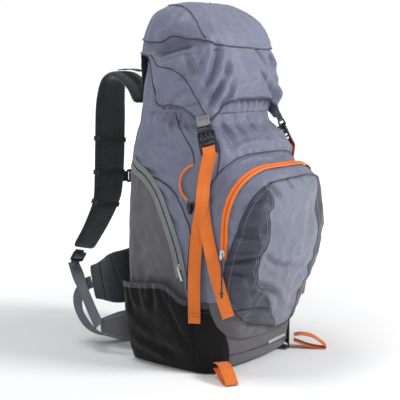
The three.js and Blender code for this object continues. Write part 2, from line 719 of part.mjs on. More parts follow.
// The hip belt hangs closed: two padded wings, and webbing in a U down to its buckle.
const BELT_PIVOT = { y: 122, z: 150 };
function hipWing() {
  const path = alongCurve([V(-72, 128, 146), V(-94, 134, 142), V(-107, 156, 134), V(-108, 199, 124)], 12);
  const heights = path.map((_, i) => 100 - 34 * smooth(i, 3, 12));
  return band(path, V(0, 0, 1), heights, 13, 4);
}

const HIP_BUCKLE = { y: 172, female: 3, male: 7.2 };
function hipWebbing(endHeight) {
  const route = [
    V(-109, 204, 124), V(-109, 217, 118), V(-110, 232, 104), V(-112, 240, 84), V(-111, 235, 58),
    V(-104, 217, 32), V(-88, 197, 16), V(-62, 181, 9.5), V(-36, 173, endHeight),
  ];
  const path = alongCurve(route, 26);
  const across = path.map((_, i) => V(0, 0, 1).lerp(V(0, 1, 0), smooth(i, 2, 16)));
  return band(path, across, STRAP_WIDTH, STRAP_THICK);
}
const lyingFlat = (geometry, x, y, z) => placed(geometry, V(x, y, z), V(1, 0, 0), V(0, 1, 0), V(0, 0, 1));
const hipHalf = (side, height, z) =>
  lyingFlat(slottedPlate(44, height, 3.6, [[16.5 * side, 0, 5, 27]]), 9.6 * side, HIP_BUCKLE.y, z);

// ---------------------------------------------------------------- tool loops
const TOOL_AXIS = V(-116, -112, 19);
function toolLoop() {
  const outwards = V(-0.55, -0.835, 0).normalize();
  const at = (reach, z) => TOOL_AXIS.clone().addScaledVector(outwards, reach).setZ(z);
  const path = [
    at(1.5, 25), at(16, 27.5), at(36, 24), at(54, 13), at(62, 6), at(63.5, 3.8),
    at(61, 1.9), at(50, 1.9), at(30, 5.5), at(14, 11), at(1.5, 15),
  ];
  return band(path, V(-outwards.y, outwards.x, 0), STRAP_WIDTH - 2, 1.6);
}

// ---------------------------------------------------------------- assembly
const pack = new THREE.Group();

function add(name, geometry, finish) {
  const material = new THREE.MeshStandardMaterial({
    color: COLOURS[finish],
    roughness: ROUGHNESS[finish] ?? 0.85,
    metalness: finish === "metal" ? 0.9 : 0,
  });
  const mesh = new THREE.Mesh(geometry, material);
  mesh.name = name;
  pack.add(mesh);
}

function addPair(name, geometry, finish) {
  add(name + "_left", geometry, finish);
  add(name + "_right", mirrored(geometry), finish);
}

add("base_panel", basePanel(), "charcoal");
add("back_panel", wallPanel(-0.5, 1.5, 8), "harness");
add("side_panel_left", wallPanel(1.5, 3.5, 10), "body");
add("front_panel", wallPanel(3.5, 5.5, 12), "body");
add("side_panel_right", wallPanel(5.5, 7.5, 10), "body");
add("collar", collar(), "body");

add("front_pocket", frontPocket(), "ripstop");
add("front_zip", frontZip(), "orange");
add("front_zip_slider", frontZipSlider(), "metal");
add("front_zip_cord", cord(pullCordRoute(), PULL_CORD_DIAMETER, 8), "harness");

addPair("side_pocket", sidePocket(), "mesh");
addPair("side_zip", sideZip(), "tape");
addPair("side_zip_slider", sideZipSlider(), "metal");

add("lid", lidShell(), "body");
add("lid_lining", lidLining(), "body");
addPair("lid_tab", lidTab(), "webbing");
addPair("lid_buckle_male", maleBuckle(), "plastic");
addPair("lid_buckle_female", femaleBuckle(), "plastic");
addPair("lid_strap", lidStrap(), "orange");

addPair("pole_keeper_cord", cord(KEEPER_ROUTE, KEEPER_DIAMETER, 16), "orange");
addPair("pole_keeper_lock", keeperLock(), "plastic");
addPair("pole_keeper_plunger", keeperPlunger(), "plastic");

const sheet = new THREE.BoxGeometry(FRAME_SHEET.width, 1.6, FRAME_SHEET.high - FRAME_SHEET.low);
add("frame_sheet", sheet.translate(0, FRAME_SHEET.y, (FRAME_SHEET.high + FRAME_SHEET.low) / 2), "sheet");
const stay = new THREE.BoxGeometry(14, 2.6, FRAME_SHEET.high - FRAME_SHEET.low - 12);
add("frame_stay", stay.translate(0, FRAME_SHEET.y - 2.6, (FRAME_SHEET.high + FRAME_SHEET.low) / 2), "metal");

addPair("back_pad", padBlock(-46, 103, 330, 72, 14, 220), "mesh");
add("lumbar_pad", padBlock(0, 103.5, 154, 122, 15, 112), "mesh");
addPair("shoulder_strap", shoulderStrap(), "harness");
addPair("load_lifter", loadLifter(), "harness");
addPair("strap_adjuster", strapAdjuster(), "plastic");
addPair("strap_webbing", strapWebbing(), "webbing");
addPair("anchor_patch", anchorPatch(), "charcoal");
add("haul_loop", haulLoop(), "harness");

addPair("sternum_webbing", sternumWebbing(), "harness");
add("sternum_buckle_female", sternumFemale(), "plastic");
add("sternum_buckle_male", sternumMale(), "plastic");

addPair("hip_wing", hipWing(), "mesh");
add("hip_webbing_left", hipWebbing(HIP_BUCKLE.female + 1.8), "webbing");
add("hip_webbing_right", mirrored(hipWebbing(HIP_BUCKLE.male + 1.8)), "webbing");
add("hip_buckle_female", hipHalf(-1, 40, HIP_BUCKLE.female), "plastic");
add("hip_buckle_male", hipHalf(1, 34, HIP_BUCKLE.male), "plastic");

addPair("tool_loop", toolLoop(), "orange");

export default pack;
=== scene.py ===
"""Trekking backpack with a hooded lid: the cloth, padding, webbing and fittings round the pack's frame.

Axes: +Z up, -Y is the pack's front, +Y the side worn against the back. Shapes are worked out in
millimetres and put into meshes in metres."""

import math

import bpy
import numpy as np
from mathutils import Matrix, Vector


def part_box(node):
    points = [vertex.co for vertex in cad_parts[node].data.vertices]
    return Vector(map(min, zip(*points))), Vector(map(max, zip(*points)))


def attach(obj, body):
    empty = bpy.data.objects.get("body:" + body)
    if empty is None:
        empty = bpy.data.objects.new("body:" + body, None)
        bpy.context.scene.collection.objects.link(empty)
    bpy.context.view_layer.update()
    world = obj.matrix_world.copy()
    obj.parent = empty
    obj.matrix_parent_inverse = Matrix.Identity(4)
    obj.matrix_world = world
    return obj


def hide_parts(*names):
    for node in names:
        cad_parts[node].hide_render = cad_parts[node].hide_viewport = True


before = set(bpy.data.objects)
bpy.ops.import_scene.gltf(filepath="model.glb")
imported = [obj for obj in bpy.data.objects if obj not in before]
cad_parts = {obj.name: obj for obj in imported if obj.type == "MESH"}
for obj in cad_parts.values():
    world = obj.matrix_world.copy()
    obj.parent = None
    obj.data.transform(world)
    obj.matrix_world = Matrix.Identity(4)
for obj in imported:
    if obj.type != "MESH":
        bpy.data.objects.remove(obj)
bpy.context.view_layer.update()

bl_info = {
    "name": "Trekking Backpack",
    "version": (1, 0, 0),
    "blender": (4, 5, 0),
    "location": "View3D > Sidebar > Backpack",
    "description": "Sews a trekking backpack round its packed frame, piece by piece",
    "category": "Add Mesh",
}

MM = 0.001
BOTH = (("left", 1), ("right", -1))


def srgb(red, green, blue):
    """A display colour, 0-255, as the linear light that Blender works in."""
    c = np.array([red, green, blue], float) / 255
    return tuple(np.where(c <= 0.04045, c / 12.92, ((c + 0.055) / 1.055) ** 2.4))


def colour(name, about, red, green, blue):
    """A colour property whose default is given as display values, 0-255."""
    return bpy.props.FloatVectorProperty(name=name, description=about, subtype="COLOR", size=3,
                                         min=0, max=1, default=srgb(red, green, blue))


# ---------------------------------------------------------------- what a user may change
class PackColours(bpy.types.PropertyGroup):
    """Colours of the cloths, webbings and fittings."""

    body: colour("Body nylon", "Blue-grey nylon of the body and lid", 106, 109, 130)
    ripstop: colour("Ripstop", "Lighter ripstop on the pocket's face", 113, 116, 132)
    dark_nylon: colour("Dark nylon", "Darker panels beside the ripstop", 50, 52, 69)
    charcoal: colour("Charcoal", "Coarse cloth of the base boot and lower sides", 93, 91, 95)
    knit: colour("Stretch mesh", "Knitted side pockets", 15, 14, 17)
    air_mesh: colour("Air mesh", "Spacer mesh of the harness", 46, 49, 55)
    back_cloth: colour("Back cloth", "Cloth of the back panel", 46, 47, 53)
    orange: colour("Orange webbing", "Lid straps and tool loops", 232, 120, 44)
    orange_zip: colour("Orange zip", "Arched zip of the front pocket", 250, 120, 40)
    grey: colour("Grey webbing", "Webbing of the harness and hip belt", 104, 107, 114)
    tab: colour("Lid tab", "Webbing tab that holds the buckle", 140, 142, 146)
    black: colour("Black webbing", "Load lifters, haul loop and sternum strap", 38, 40, 45)
    tape: colour("Zip tape", "Tape of the side zips", 128, 133, 132)
    binding: colour("Wing binding", "Edge binding on the hip wings", 138, 133, 146)
    thread: colour("Thread", "Topstitching", 160, 162, 174)
    piping: colour("Piping", "Dark piping along the seams", 44, 45, 58)
    plastic: colour("Plastic", "Moulded buckles and locks", 18, 19, 22)
    metal: colour("Zinc", "Die-cast zip sliders", 196, 198, 202)


class PackSizes(bpy.types.PropertyGroup):
    """Sizes of the sewn details."""

    cloth: bpy.props.FloatProperty(name="Cloth", description="Thickness of the sewn cloth with its lining",
                                   default=0.0016, min=0.0005, max=0.004, unit="LENGTH")
    fold: bpy.props.FloatProperty(name="Folds", description="Strength of the folds in the cloth",
                                  default=1.35, min=0, max=2)
    crumple: bpy.props.FloatProperty(name="Crumple", description="Height of the small creases in the nylon",
                                     default=0.0016, min=0, max=0.003, unit="LENGTH")
    stitch: bpy.props.FloatProperty(name="Stitch", description="Length of one topstitch",
                                    default=0.0034, min=0.002, max=0.006, unit="LENGTH")


class StageSettings(bpy.types.PropertyGroup):
    """Camera, lights and floor."""

    bearing: bpy.props.FloatProperty(name="Bearing", description="Camera's turn round the pack from its front",
                                     default=math.radians(-52), subtype="ANGLE")
    height: bpy.props.FloatProperty(name="Height", description="Camera's angle above the horizon",
                                    default=math.radians(6), subtype="ANGLE")
    distance: bpy.props.FloatProperty(name="Distance", description="Camera to the pack's middle",
                                      default=1.9, min=0.5, unit="LENGTH")
    lens: bpy.props.FloatProperty(name="Lens", description="Focal length in millimetres", default=91.9)
    floor: colour("Floor", "Plain pale floor", 246, 246, 246)
    room: bpy.props.FloatProperty(name="Room", description="Strength of the even light of the room", default=0.32)
    key: bpy.props.FloatProperty(name="Key", description="Power of the large soft light", default=78,
                                 unit="POWER")
    fill: bpy.props.FloatProperty(name="Fill", description="Power of the light from the other side",
                                  default=10, unit="POWER")


def colours():
    """The scene's colours of the pack."""
    return bpy.context.scene.pack_colours


def sizes():
    """The scene's sizes of the sewn details."""
    return bpy.context.scene.pack_sizes


# ---------------------------------------------------------------- the pack's outline
# Height, half width, front y, back y and front corner radius, in millimetres.
BODY = np.array([
    [0, 128, -108, 92, 50], [50, 131, -116, 94, 56], [120, 137, -118, 95, 60],
    [200, 140, -114, 95, 62], [280, 138, -114, 95, 62], [340, 133, -120, 95, 62],
    [390, 124, -122, 95, 60], [415, 116, -106, 95, 54], [436, 107, -80, 94, 46],
    [470, 103, -76, 92, 42], [540, 98, -70, 88, 38],
], float)
BASE_TOP, WALL_TOP, COLLAR_TOP = 50.0, 462.0, 540.0
BACK_CORNER, SIDE_BULGE, FRONT_BULGE = 35.0, 3.0, 6.0
POCKET_MIDDLE, POCKET_UP, POCKET_DOWN, POCKET_HALF, POCKET_SEAM = 206.0, 164.0, 152.0, 131.0, 1.2
ZIP_REACH, ZIP_START, ZIP_END = 0.965, math.pi - 0.04, 0.04
STRAP_TURN = 3.33
# Places round an outline, which runs 0..8; a place and its mirror image add up to MIRROR_SUM.
REAR_CORNER, FRONT_CORNER, FRONT_MIDDLE, MIRROR_SUM = 1.5, 3.5, 4.5, 9
WALL_FOOT, ZIP_TOP = 49, 366


def smooth(x, low, high):
    """0 below low, 1 above high, and 3t^2 - 2t^3 between them."""
    t = np.clip((np.asarray(x, float) - low) / (high - low), 0, 1)
    return t * t * (3 - 2 * t)


def mix(a, b, f):
    """a at f = 0, b at f = 1 and a straight line between them."""
    return a + (b - a) * f


def unit(v):
    """Each vector divided by its length."""
    return v / np.maximum(np.linalg.norm(v, axis=-1, keepdims=True), 1e-9)


def points(x, y, z):
    """Three arrays of one shape, side by side as points."""
    return np.stack(np.broadcast_arrays(x, y, z), -1).astype(float)


def row_at(table, z):
    """The table's other columns at height z, on the cubic through four rows (Catmull-Rom)."""
    z = np.clip(np.asarray(z, float), table[0, 0], table[-1, 0])
    last = len(table) - 1
    i = np.clip(np.searchsorted(table[:, 0], z, side="left") - 1, 0, last - 1)
    f = ((z - table[i, 0]) / (table[i + 1, 0] - table[i, 0]))[..., None]
    a, b = table[i, 1:], table[i + 1, 1:]
    slope_a = (b - table[np.maximum(i - 1, 0), 1:]) / 2
    slope_b = (table[np.minimum(i + 2, last), 1:] - a) / 2
    g = f * f
    return (a * (2 * g * f - 3 * g + 1) + slope_a * (g * f - 2 * g + f)
            + b * (3 * g - 2 * g * f) + slope_b * (g * f - g))


def outline(turn, row, inset=0.0, side=SIDE_BULGE, front=FRONT_BULGE):
    """x and y on a rounded rectangle whose straight runs bow out by a half sine. turn runs 0..8:
    back edge 0-1, left rear corner 1-2, left side 2-3, left front corner 3-4, front 4-5, and so on."""
    turn = np.mod(np.asarray(turn, float), 8)
    half, fore, back, radius = (row[..., k] for k in range(4))
    turn, inset, half, fore, back, radius = np.broadcast_arrays(turn, inset, half, fore, back, radius)
    w, f, b = half - inset, fore + inset, back - inset
    rf, rb = np.maximum(radius - inset, 6), np.maximum(BACK_CORNER - inset, 6)
    k = np.floor(turn).astype(int)
    part = turn - k
    arch = np.sin(math.pi * part)
    angle = part * math.pi / 2
    c, s = np.cos(angle), np.sin(angle)
    x = np.choose(k, [mix(w - rb, rb - w, part), rb - w - rb * s, -w - side * arch, rf - w - rf * c,
                      mix(rf - w, w - rf, part), w - rf + rf * s, w + side * arch, w - rb + rb * c])
    y = np.choose(k, [b, b - rb + rb * c, mix(b - rb, f + rf, part), f + rf - rf * s,
                      f - front * arch, f + rf - rf * c, mix(f + rf, b - rb, part), b - rb + rb * s])
    return x, y


def body_point(turn, z, inset=0.0):
    """The body's outline at a place round it and a height, moved in by inset."""
    x, y = outline(turn, row_at(BODY, z), inset)
    return points(x, y, z)


def normals(surface, u, v, du=0.01, dv=1.0):
    """Unit cross product of a surface's two slopes, taken over small steps."""
    along = surface(u + du, v) - surface(u - du, v)
    up = surface(u, v + dv) - surface(u, v - dv)
    return unit(np.cross(along, up))


def over_body(turn, z, lift):
    """The outline's point moved along its outward normal by lift."""
    turn, z = np.broadcast_arrays(np.asarray(turn, float), np.asarray(z, float))
    return body_point(turn, z) + normals(body_point, turn, z) * np.asarray(lift, float)[..., None]


def girth(turn, z=250.0, row=None):
    """Distance round the outline from the middle of the front, in millimetres, left side negative."""
    turns = np.linspace(0.5, 8.5, 801)
    x, y = outline(turns, row_at(BODY, np.full(801, z)) if row is None else np.tile(row, (801, 1)))
    far = np.concatenate([[0], np.cumsum(np.hypot(np.diff(x), np.diff(y)))])
    turn = np.where(np.asarray(turn) < 0.5, np.asarray(turn) + 8, turn)
    return np.interp(turn, turns, far) - np.interp(FRONT_MIDDLE, turns, far)


def body_front(x, z):
    """y of the body's front surface."""
    row = row_at(BODY, z)
    half, front, radius = row[..., 0], row[..., 1], row[..., 3]
    flat = half - radius
    beyond = np.clip(np.abs(x) - flat, 0, radius)
    middle = front - FRONT_BULGE * np.cos(math.pi * np.clip(x, -flat, flat) / (2 * flat))
    return np.where(beyond > 0, front + radius - np.sqrt(radius**2 - beyond**2), middle)


def pocket_depth(z):
    """Depth over the body: 15, with a smooth step of 62 up and one of 8 down with height."""
    return 15 + 62 * smooth(z, 50, 255) - 8 * smooth(z, 290, 370)


def pocket_reach(x, z):
    """0 at the middle of the pocket, 1 on its sewn edge: a rounded rectangle of the fourth power."""
    rise = z - POCKET_MIDDLE
    b = np.abs(rise) / np.where(rise > 0, POCKET_UP, POCKET_DOWN)
    return ((np.abs(x) / POCKET_HALF) ** 4 + b**4) ** 0.25


def pocket_front(x, z):
    """y of the pocket's face: the body's front less the depth times the root of 1 - reach^9."""
    reach = np.minimum(pocket_reach(x, z), 1)
    return body_front(x, z) - pocket_depth(z) * np.sqrt(1 - reach**9)


def pocket_point(u, v, lift=0.0):
    """The stuffed pocket. Squares of the grid -1..1 become rounded rectangles, and the depth falls
    off as the root of 1 - size^9, so the face is nearly flat and the rim turns in."""
    u, v = np.broadcast_arrays(np.asarray(u, float), np.asarray(v, float))
    size = np.minimum(np.maximum(np.abs(u), np.abs(v)), 1)
    k = size / np.maximum((u**4 + v**4) ** 0.25, 1e-9)
    x = POCKET_HALF * u * k
    z = POCKET_MIDDLE + np.where(v > 0, POCKET_UP, POCKET_DOWN) * v * k
    bulge = pocket_depth(z) * np.sqrt(1 - size**9)
    return points(x, body_front(x, z) - POCKET_SEAM - bulge - lift, z)


def round_pocket(angle, reach):
    """The same surface by angle round its middle and reach outwards."""
    c, s = np.cos(angle), np.sin(angle)
    k = reach / np.maximum(np.abs(c), np.abs(s))
    return pocket_point(c * k, s * k)


# ---------------------------------------------------------------- lid outline
LID_ROW = np.array([112.0, -91.0, 93.0, 48.0])
LID_RIM, LID_HINGE_Z = 562.0, 556.0
CROWN = np.array([[562, 5], [590, 10], [612, 19], [630, 32], [642, 48], [648, 66]], float)
HEM = np.array([[0.5, 553], [2.05, 553], [2.28, 472], [2.62, 468], [2.85, 464], [3.07, 454], [3.22, 444],
                [3.34, 440],
                [3.5, 444], [3.7, 458], [3.85, 469], [4.1, 477], [4.3, 480], [4.5, 479]], float)


def lid_outline(turn, z, inset):
    """The lid's outline at a place round it and a height, moved in by inset."""
    x, y = outline(turn, LID_ROW, inset, 2.0, 5.0)
    return points(x, y, z)


def hem_height(turn):
    """The skirt's hem: low at the front corners, arched at the front and cut away at the rear."""
    t = np.where(turn > FRONT_MIDDLE, MIRROR_SUM - turn, np.where(turn < 0.5, 1 - turn, turn))
    return row_at(HEM, t)[..., 0]


def lid_point(turn, f):
    """f runs 0..1 up the flared skirt from hem to rim, then 1..2 over the crown's rows."""
    turn, f = np.broadcast_arrays(np.asarray(turn, float), np.asarray(f, float))
    low = hem_height(turn)
    height = mix(low, LID_RIM, np.minimum(f, 1))
    skirt = lid_outline(turn, height, 5 - 9 * (LID_RIM - height) / 100)
    rows = np.column_stack([np.arange(len(CROWN)), CROWN])
    at = row_at(rows, np.clip(f - 1, 0, 1) * (len(CROWN) - 1))
    crown = lid_outline(turn, at[..., 0], at[..., 1])
    crown[..., 2] = LID_RIM + (crown[..., 2] - LID_RIM) * (1 - 0.36 * smooth(-crown[..., 1], -10, 95))
    return np.where((f > 1)[..., None], crown, skirt)


# ---------------------------------------------------------------- meshes from grids
def lengths(grid, around=False):
    """Distance along both directions of a grid, so a weave keeps its scale on the surface."""
    g = np.concatenate([grid, grid[:, :1]], 1) if around else grid
    down = np.linalg.norm(np.diff(g, axis=0), axis=-1)
    over = np.linalg.norm(np.diff(g, axis=1), axis=-1)
    n, m = g.shape[:2]
    u, v = np.zeros((n, m)), np.zeros((n, m))
    u[1:] = np.cumsum(down, 0).mean(1)[:, None]
    v[:, 1:] = np.cumsum(over, 1).mean(0)[None]
    return np.stack([u, v], -1)


def part(grid, uv=None, around=False, caps=False):
    """A grid of points as vertices, faces and the faces' cloth coordinates. around leads the last
    column back to the first, and caps close the first and last row with a fan round its middle."""
    n, m = grid.shape[:2]
    if uv is None:
        uv = lengths(grid, around)
    i, j = np.meshgrid(np.arange(n - 1), np.arange(m if around else m - 1), indexing="ij")
    k = (j + 1) % m
    quads = np.stack([i * m + j, (i + 1) * m + j, (i + 1) * m + k, i * m + k], -1).reshape(-1, 4)
    w = np.minimum(j + 1, uv.shape[1] - 1)
    at = np.stack([uv[i, j], uv[i + 1, j], uv[i + 1, w], uv[i, w]], -2).reshape(-1, 2)
    vertices, faces = grid.reshape(-1, 3), quads.tolist()
    if caps:
        j = np.arange(m)
        k = (j + 1) % m
        for row, flip in ((0, True), (n - 1, False)):
            pole = np.full(m, len(vertices))
            ring = [pole, row * m + k, row * m + j] if flip else [pole, row * m + j, row * m + k]
            vertices = np.vstack([vertices, grid[row].mean(0)])
            faces += np.stack(ring, -1).tolist()
            middle = np.broadcast_to(uv[row, :m].mean(0), (m, 2))
            ends = (uv[row, k], uv[row, j]) if flip else (uv[row, j], uv[row, k])
            at = np.vstack([at, np.stack([middle, *ends], 1).reshape(-1, 2)])
    return vertices, faces, at


def other_side(grid):
    """The same grid on the pack's other side, still facing outwards."""
    return grid[::-1] * np.array([-1.0, 1, 1])


def side_grid(grid, sign):
    """The grid on the left, or its mirror image on the right."""
    return grid if sign > 0 else other_side(grid)


def make(name, parts, finish, body="pack", replaces=(), closed=True, thick=0.0):
    """One piece from its parts. Closed parts that came out inside out are turned round, and an
    open sheet is given its thickness inwards."""
    vertices, faces, uvs, start = [], [], [], 0
    for points_in, polygons, uv in parts:
        p = np.asarray(points_in, float)
        if closed:
            a, b, c = (p[[f[k] for f in polygons]] for k in range(3))
            d = p[[f[-1] for f in polygons]]
            volume = (a * np.cross(b, c)).sum() + (a * np.cross(c, d)).sum()
            if volume < 0:
                uv = np.concatenate([uv[s:s + n][::-1] for s, n in spans(polygons)])
                polygons = [f[::-1] for f in polygons]
        vertices.append(p * MM)
        faces += [[k + start for k in f] for f in polygons]
        uvs.append(uv * MM)
        start += len(p)
    mesh = bpy.data.meshes.new(name)
    mesh.from_pydata(np.concatenate(vertices).tolist(), [], faces)
    layer = mesh.uv_layers.new(name="Cloth")
    layer.data.foreach_set("uv", np.concatenate(uvs).astype(np.float32).ravel())
    mesh.polygons.foreach_set("use_smooth", np.ones(len(mesh.polygons), bool))
    mesh.materials.append(finish)
    mesh.update()
    made = bpy.data.objects.new(name, mesh)
    bpy.context.scene.collection.objects.link(made)
    if thick:
        wall = made.modifiers.new("Cloth thickness", "SOLIDIFY")
        wall.thickness = thick * MM
        wall.offset = -1
    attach(made, body)
    if replaces:
        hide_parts(*([replaces] if isinstance(replaces, str) else replaces))
    return made


def spans(polygons):
    """Where each face's corners start in a flat list, and how many it has."""
    sizes_of = np.array([len(f) for f in polygons])
    return zip(np.concatenate([[0], np.cumsum(sizes_of)[:-1]]).tolist(), sizes_of.tolist())


def distance(path):
    """How far along a path each of its points is."""
    return np.concatenate([[0], np.cumsum(np.linalg.norm(np.diff(path, axis=0), axis=1))])


def between(at, far, values):
    """The values' three columns at the distances, in straight lines between the known ones."""
    return np.stack([np.interp(at, far, values[:, k]) for k in range(3)], -1)


def curve(knots, count):
    """Evenly spaced points on the Catmull-Rom curve through the knots."""
    knots = np.asarray(knots, float)
    rows = np.column_stack([np.arange(len(knots)), knots])
    fine = row_at(rows, np.linspace(0, len(knots) - 1, 24 * len(knots)))
    far = distance(fine)
    at = np.linspace(0, far[-1], count)
    return between(at, far, fine)


def frames(path, across):
    """Tangent, width direction and outward direction at each point of a path."""
    tangent = unit(np.gradient(path, axis=0))
    across = np.broadcast_to(np.asarray(across, float), path.shape)
    side = unit(across - (across * tangent).sum(-1, keepdims=True) * tangent)
    return tangent, side, np.cross(tangent, side)


def sweep(path, across, profile, wide=1.0, deep=1.0, lift=0.0):
    """A closed profile (across, outward) carried along a path. wide and deep scale it, and may
    change along the path."""
    _, side, out = frames(path, across)
    wide, deep, lift = (np.broadcast_to(np.asarray(k, float), len(path)) for k in (wide, deep, lift))
    a = profile[None, :, 0] * wide[:, None]
    b = profile[None, :, 1] * deep[:, None] + lift[:, None]
    return path[:, None] + side[:, None] * a[..., None] + out[:, None] * b[..., None]


def rounded(width, height, power=0.5, count=20):
    """A superellipse: the cosine and sine of the angle, each raised to power and given its sign."""
    t = -np.linspace(0, 2 * math.pi, count, endpoint=False)
    c, s = np.cos(t), np.sin(t)
    return np.stack([np.sign(c) * np.abs(c) ** power * width / 2, np.sign(s) * np.abs(s) ** power * height / 2],
                    -1)


def webbing_profile(width, thick):
    """Flat webbing: a thin strip whose two selvages are a little thicker than its middle."""
    x = np.array([0.5, 0.497, 0.485, 0.46, 0.42, 0.3, 0.1, -0.1, -0.3, -0.42, -0.46, -0.485, -0.497])
    y = np.array([0.0, 0.3, 0.5, 0.52, 0.42, 0.4, 0.4, 0.4, 0.4, 0.42, 0.52, 0.5, 0.3])
    top = np.stack([x * width, y * thick], -1)
    low = np.stack([-x * width, -y * thick], -1)
    return np.concatenate([top, low])[::-1]


def ribbon(path, across, width, thick, lift=0.0):
    """Webbing along a path, with u across it from its middle and v along it."""
    profile = webbing_profile(1.0, thick)
    grid = sweep(path, across, profile, wide=width, lift=lift)
    far = distance(path)
    u = profile[:, 0] * np.mean(width)
    u = np.concatenate([u, u[:1]])
    uv = np.stack(np.broadcast_arrays(u[None], far[:, None]), -1)
    return part(grid, uv, around=True, caps=True)


def tube(path, radius, count=8):
    """A round cord or piping along a path."""
    tangent = unit(np.gradient(path, axis=0))
    guess = np.where(np.abs(tangent[:, 2:]) > 0.9, [[1.0, 0, 0]], [[0, 0, 1.0]])
    side = unit(np.cross(tangent, guess))
    for i in range(1, len(path)):
        carried = side[i - 1] - (side[i - 1] @ tangent[i]) * tangent[i]
        side[i] = carried / np.linalg.norm(carried)
    out = np.cross(tangent, side)
    t = np.linspace(0, 2 * math.pi, count, endpoint=False)
    radius = np.broadcast_to(np.asarray(radius, float), len(path))[:, None, None]
    grid = path[:, None] + radius * (side[:, None] * np.cos(t)[None, :, None] + out[:, None]
                                     * np.sin(t)[None, :, None])
    return part(grid, around=True, caps=True)


def pillow(middle, size, axes=None, power=0.3, count=14):
    """A box with rounded edges: a superellipsoid whose cosines and sines are raised to power."""
    a = np.linspace(-math.pi / 2, math.pi / 2, count // 2 + 1)[:, None]
    b = np.linspace(0, 2 * math.pi, count * 2, endpoint=False)[None]

    def bent(value):
        return np.sign(value) * np.abs(value) ** power

    x, y, z = np.broadcast_arrays(bent(np.cos(a)) * bent(np.cos(b)), bent(np.cos(a)) * bent(np.sin(b)),
                                  bent(np.sin(a)))
    local = np.stack([x, y, z], -1) * np.asarray(size, float) / 2
    axes = np.eye(3) if axes is None else np.asarray(axes, float)
    return part(local @ axes + np.asarray(middle, float), around=True)


def stitching(path, out, lift=0.0, every=None):
    """Topstitches along a path: a row of short slim pillows, each of six rings' points."""
    every = every or sizes().stitch / MM
    out = np.broadcast_to(np.asarray(out, float), path.shape)
    far = distance(path)
    at = np.arange(every / 2, far[-1], every)
    middle = between(at, far, path)
    tangent = unit(np.stack([np.interp(at, far, np.gradient(path[:, k])) for k in range(3)], -1))
    out = unit(between(at, far, out))
    side = np.cross(tangent, out)
    x = np.array([-0.5, -0.38, 0.0, 0.38, 0.5]) * every * 0.72
    r = np.array([0.02, 0.8, 1.0, 0.8, 0.02]) * 0.42
    t = np.linspace(0, 2 * math.pi, 5, endpoint=False)
    local = np.stack(np.broadcast_arrays(x[:, None], r[:, None] * np.cos(t), r[:, None] * np.sin(t)), -1)
    base = np.stack([tangent, side, out], 1)
    grid = np.einsum("ijk,nkl->nijl", local, base) + (middle + out * lift)[:, None, None]
    vertices, faces, uv = part(local, around=True)
    count = len(vertices)
    every_face = (np.array(faces)[None] + np.arange(len(middle))[:, None, None] * count).reshape(-1, 4)
    return grid.reshape(-1, 3), every_face.tolist(), np.tile(uv, (len(middle), 1))


# ---------------------------------------------------------------- folds in cloth
def creases(a, b, table):
    """Folds on a cloth with coordinates a and b: each row is a start, an end, a half width, a
    height and a bow. Across the fold the cloth follows a Gaussian with a shallow hollow each side,
    and it fades out past the two ends."""
    total = np.zeros(np.broadcast(a, b).shape)
    for a0, b0, a1, b1, width, height, bow in table:
        da, db = a1 - a0, b1 - b0
        far = math.hypot(da, db)
        t = ((a - a0) * da + (b - b0) * db) / far**2
        s = ((b - b0) * da - (a - a0) * db) / far - bow * 4 * t * (1 - t)
        q = s / (width * (1 + 0.35 * t))
        fade = smooth(t, -0.2, 0.25) * (1 - smooth(t, 0.75, 1.2))
        total += height * fade * (np.exp(-q * q) - 0.4 * np.exp(-((q - 1.7) ** 2)) - 0.4
                                  * np.exp(-((q + 1.7) ** 2)))
    return total * sizes().fold


def crumple(a, b, size, seed):
    """Small sharp creases: minus the absolute value of a sum of slanted sine waves, each bent by a
    slower one. The waves' slants and starts come from a fixed seed."""
    dice = np.random.default_rng(seed)
    total = np.zeros(np.broadcast(a, b).shape)
    for _ in range(7):
        slant, start, other = dice.uniform(0, 2 * math.pi, 3)
        wave = size * dice.uniform(0.7, 1.9)
        along = (a * math.cos(slant) + b * math.sin(slant)) * 2 * math.pi / wave
        beside = (b * math.cos(slant) - a * math.sin(slant)) * 2 * math.pi / (wave * 2.6)
        total += np.sin(along + start + 1.4 * np.sin(beside + other))
    return 0.45 - np.abs(total) / 7**0.5


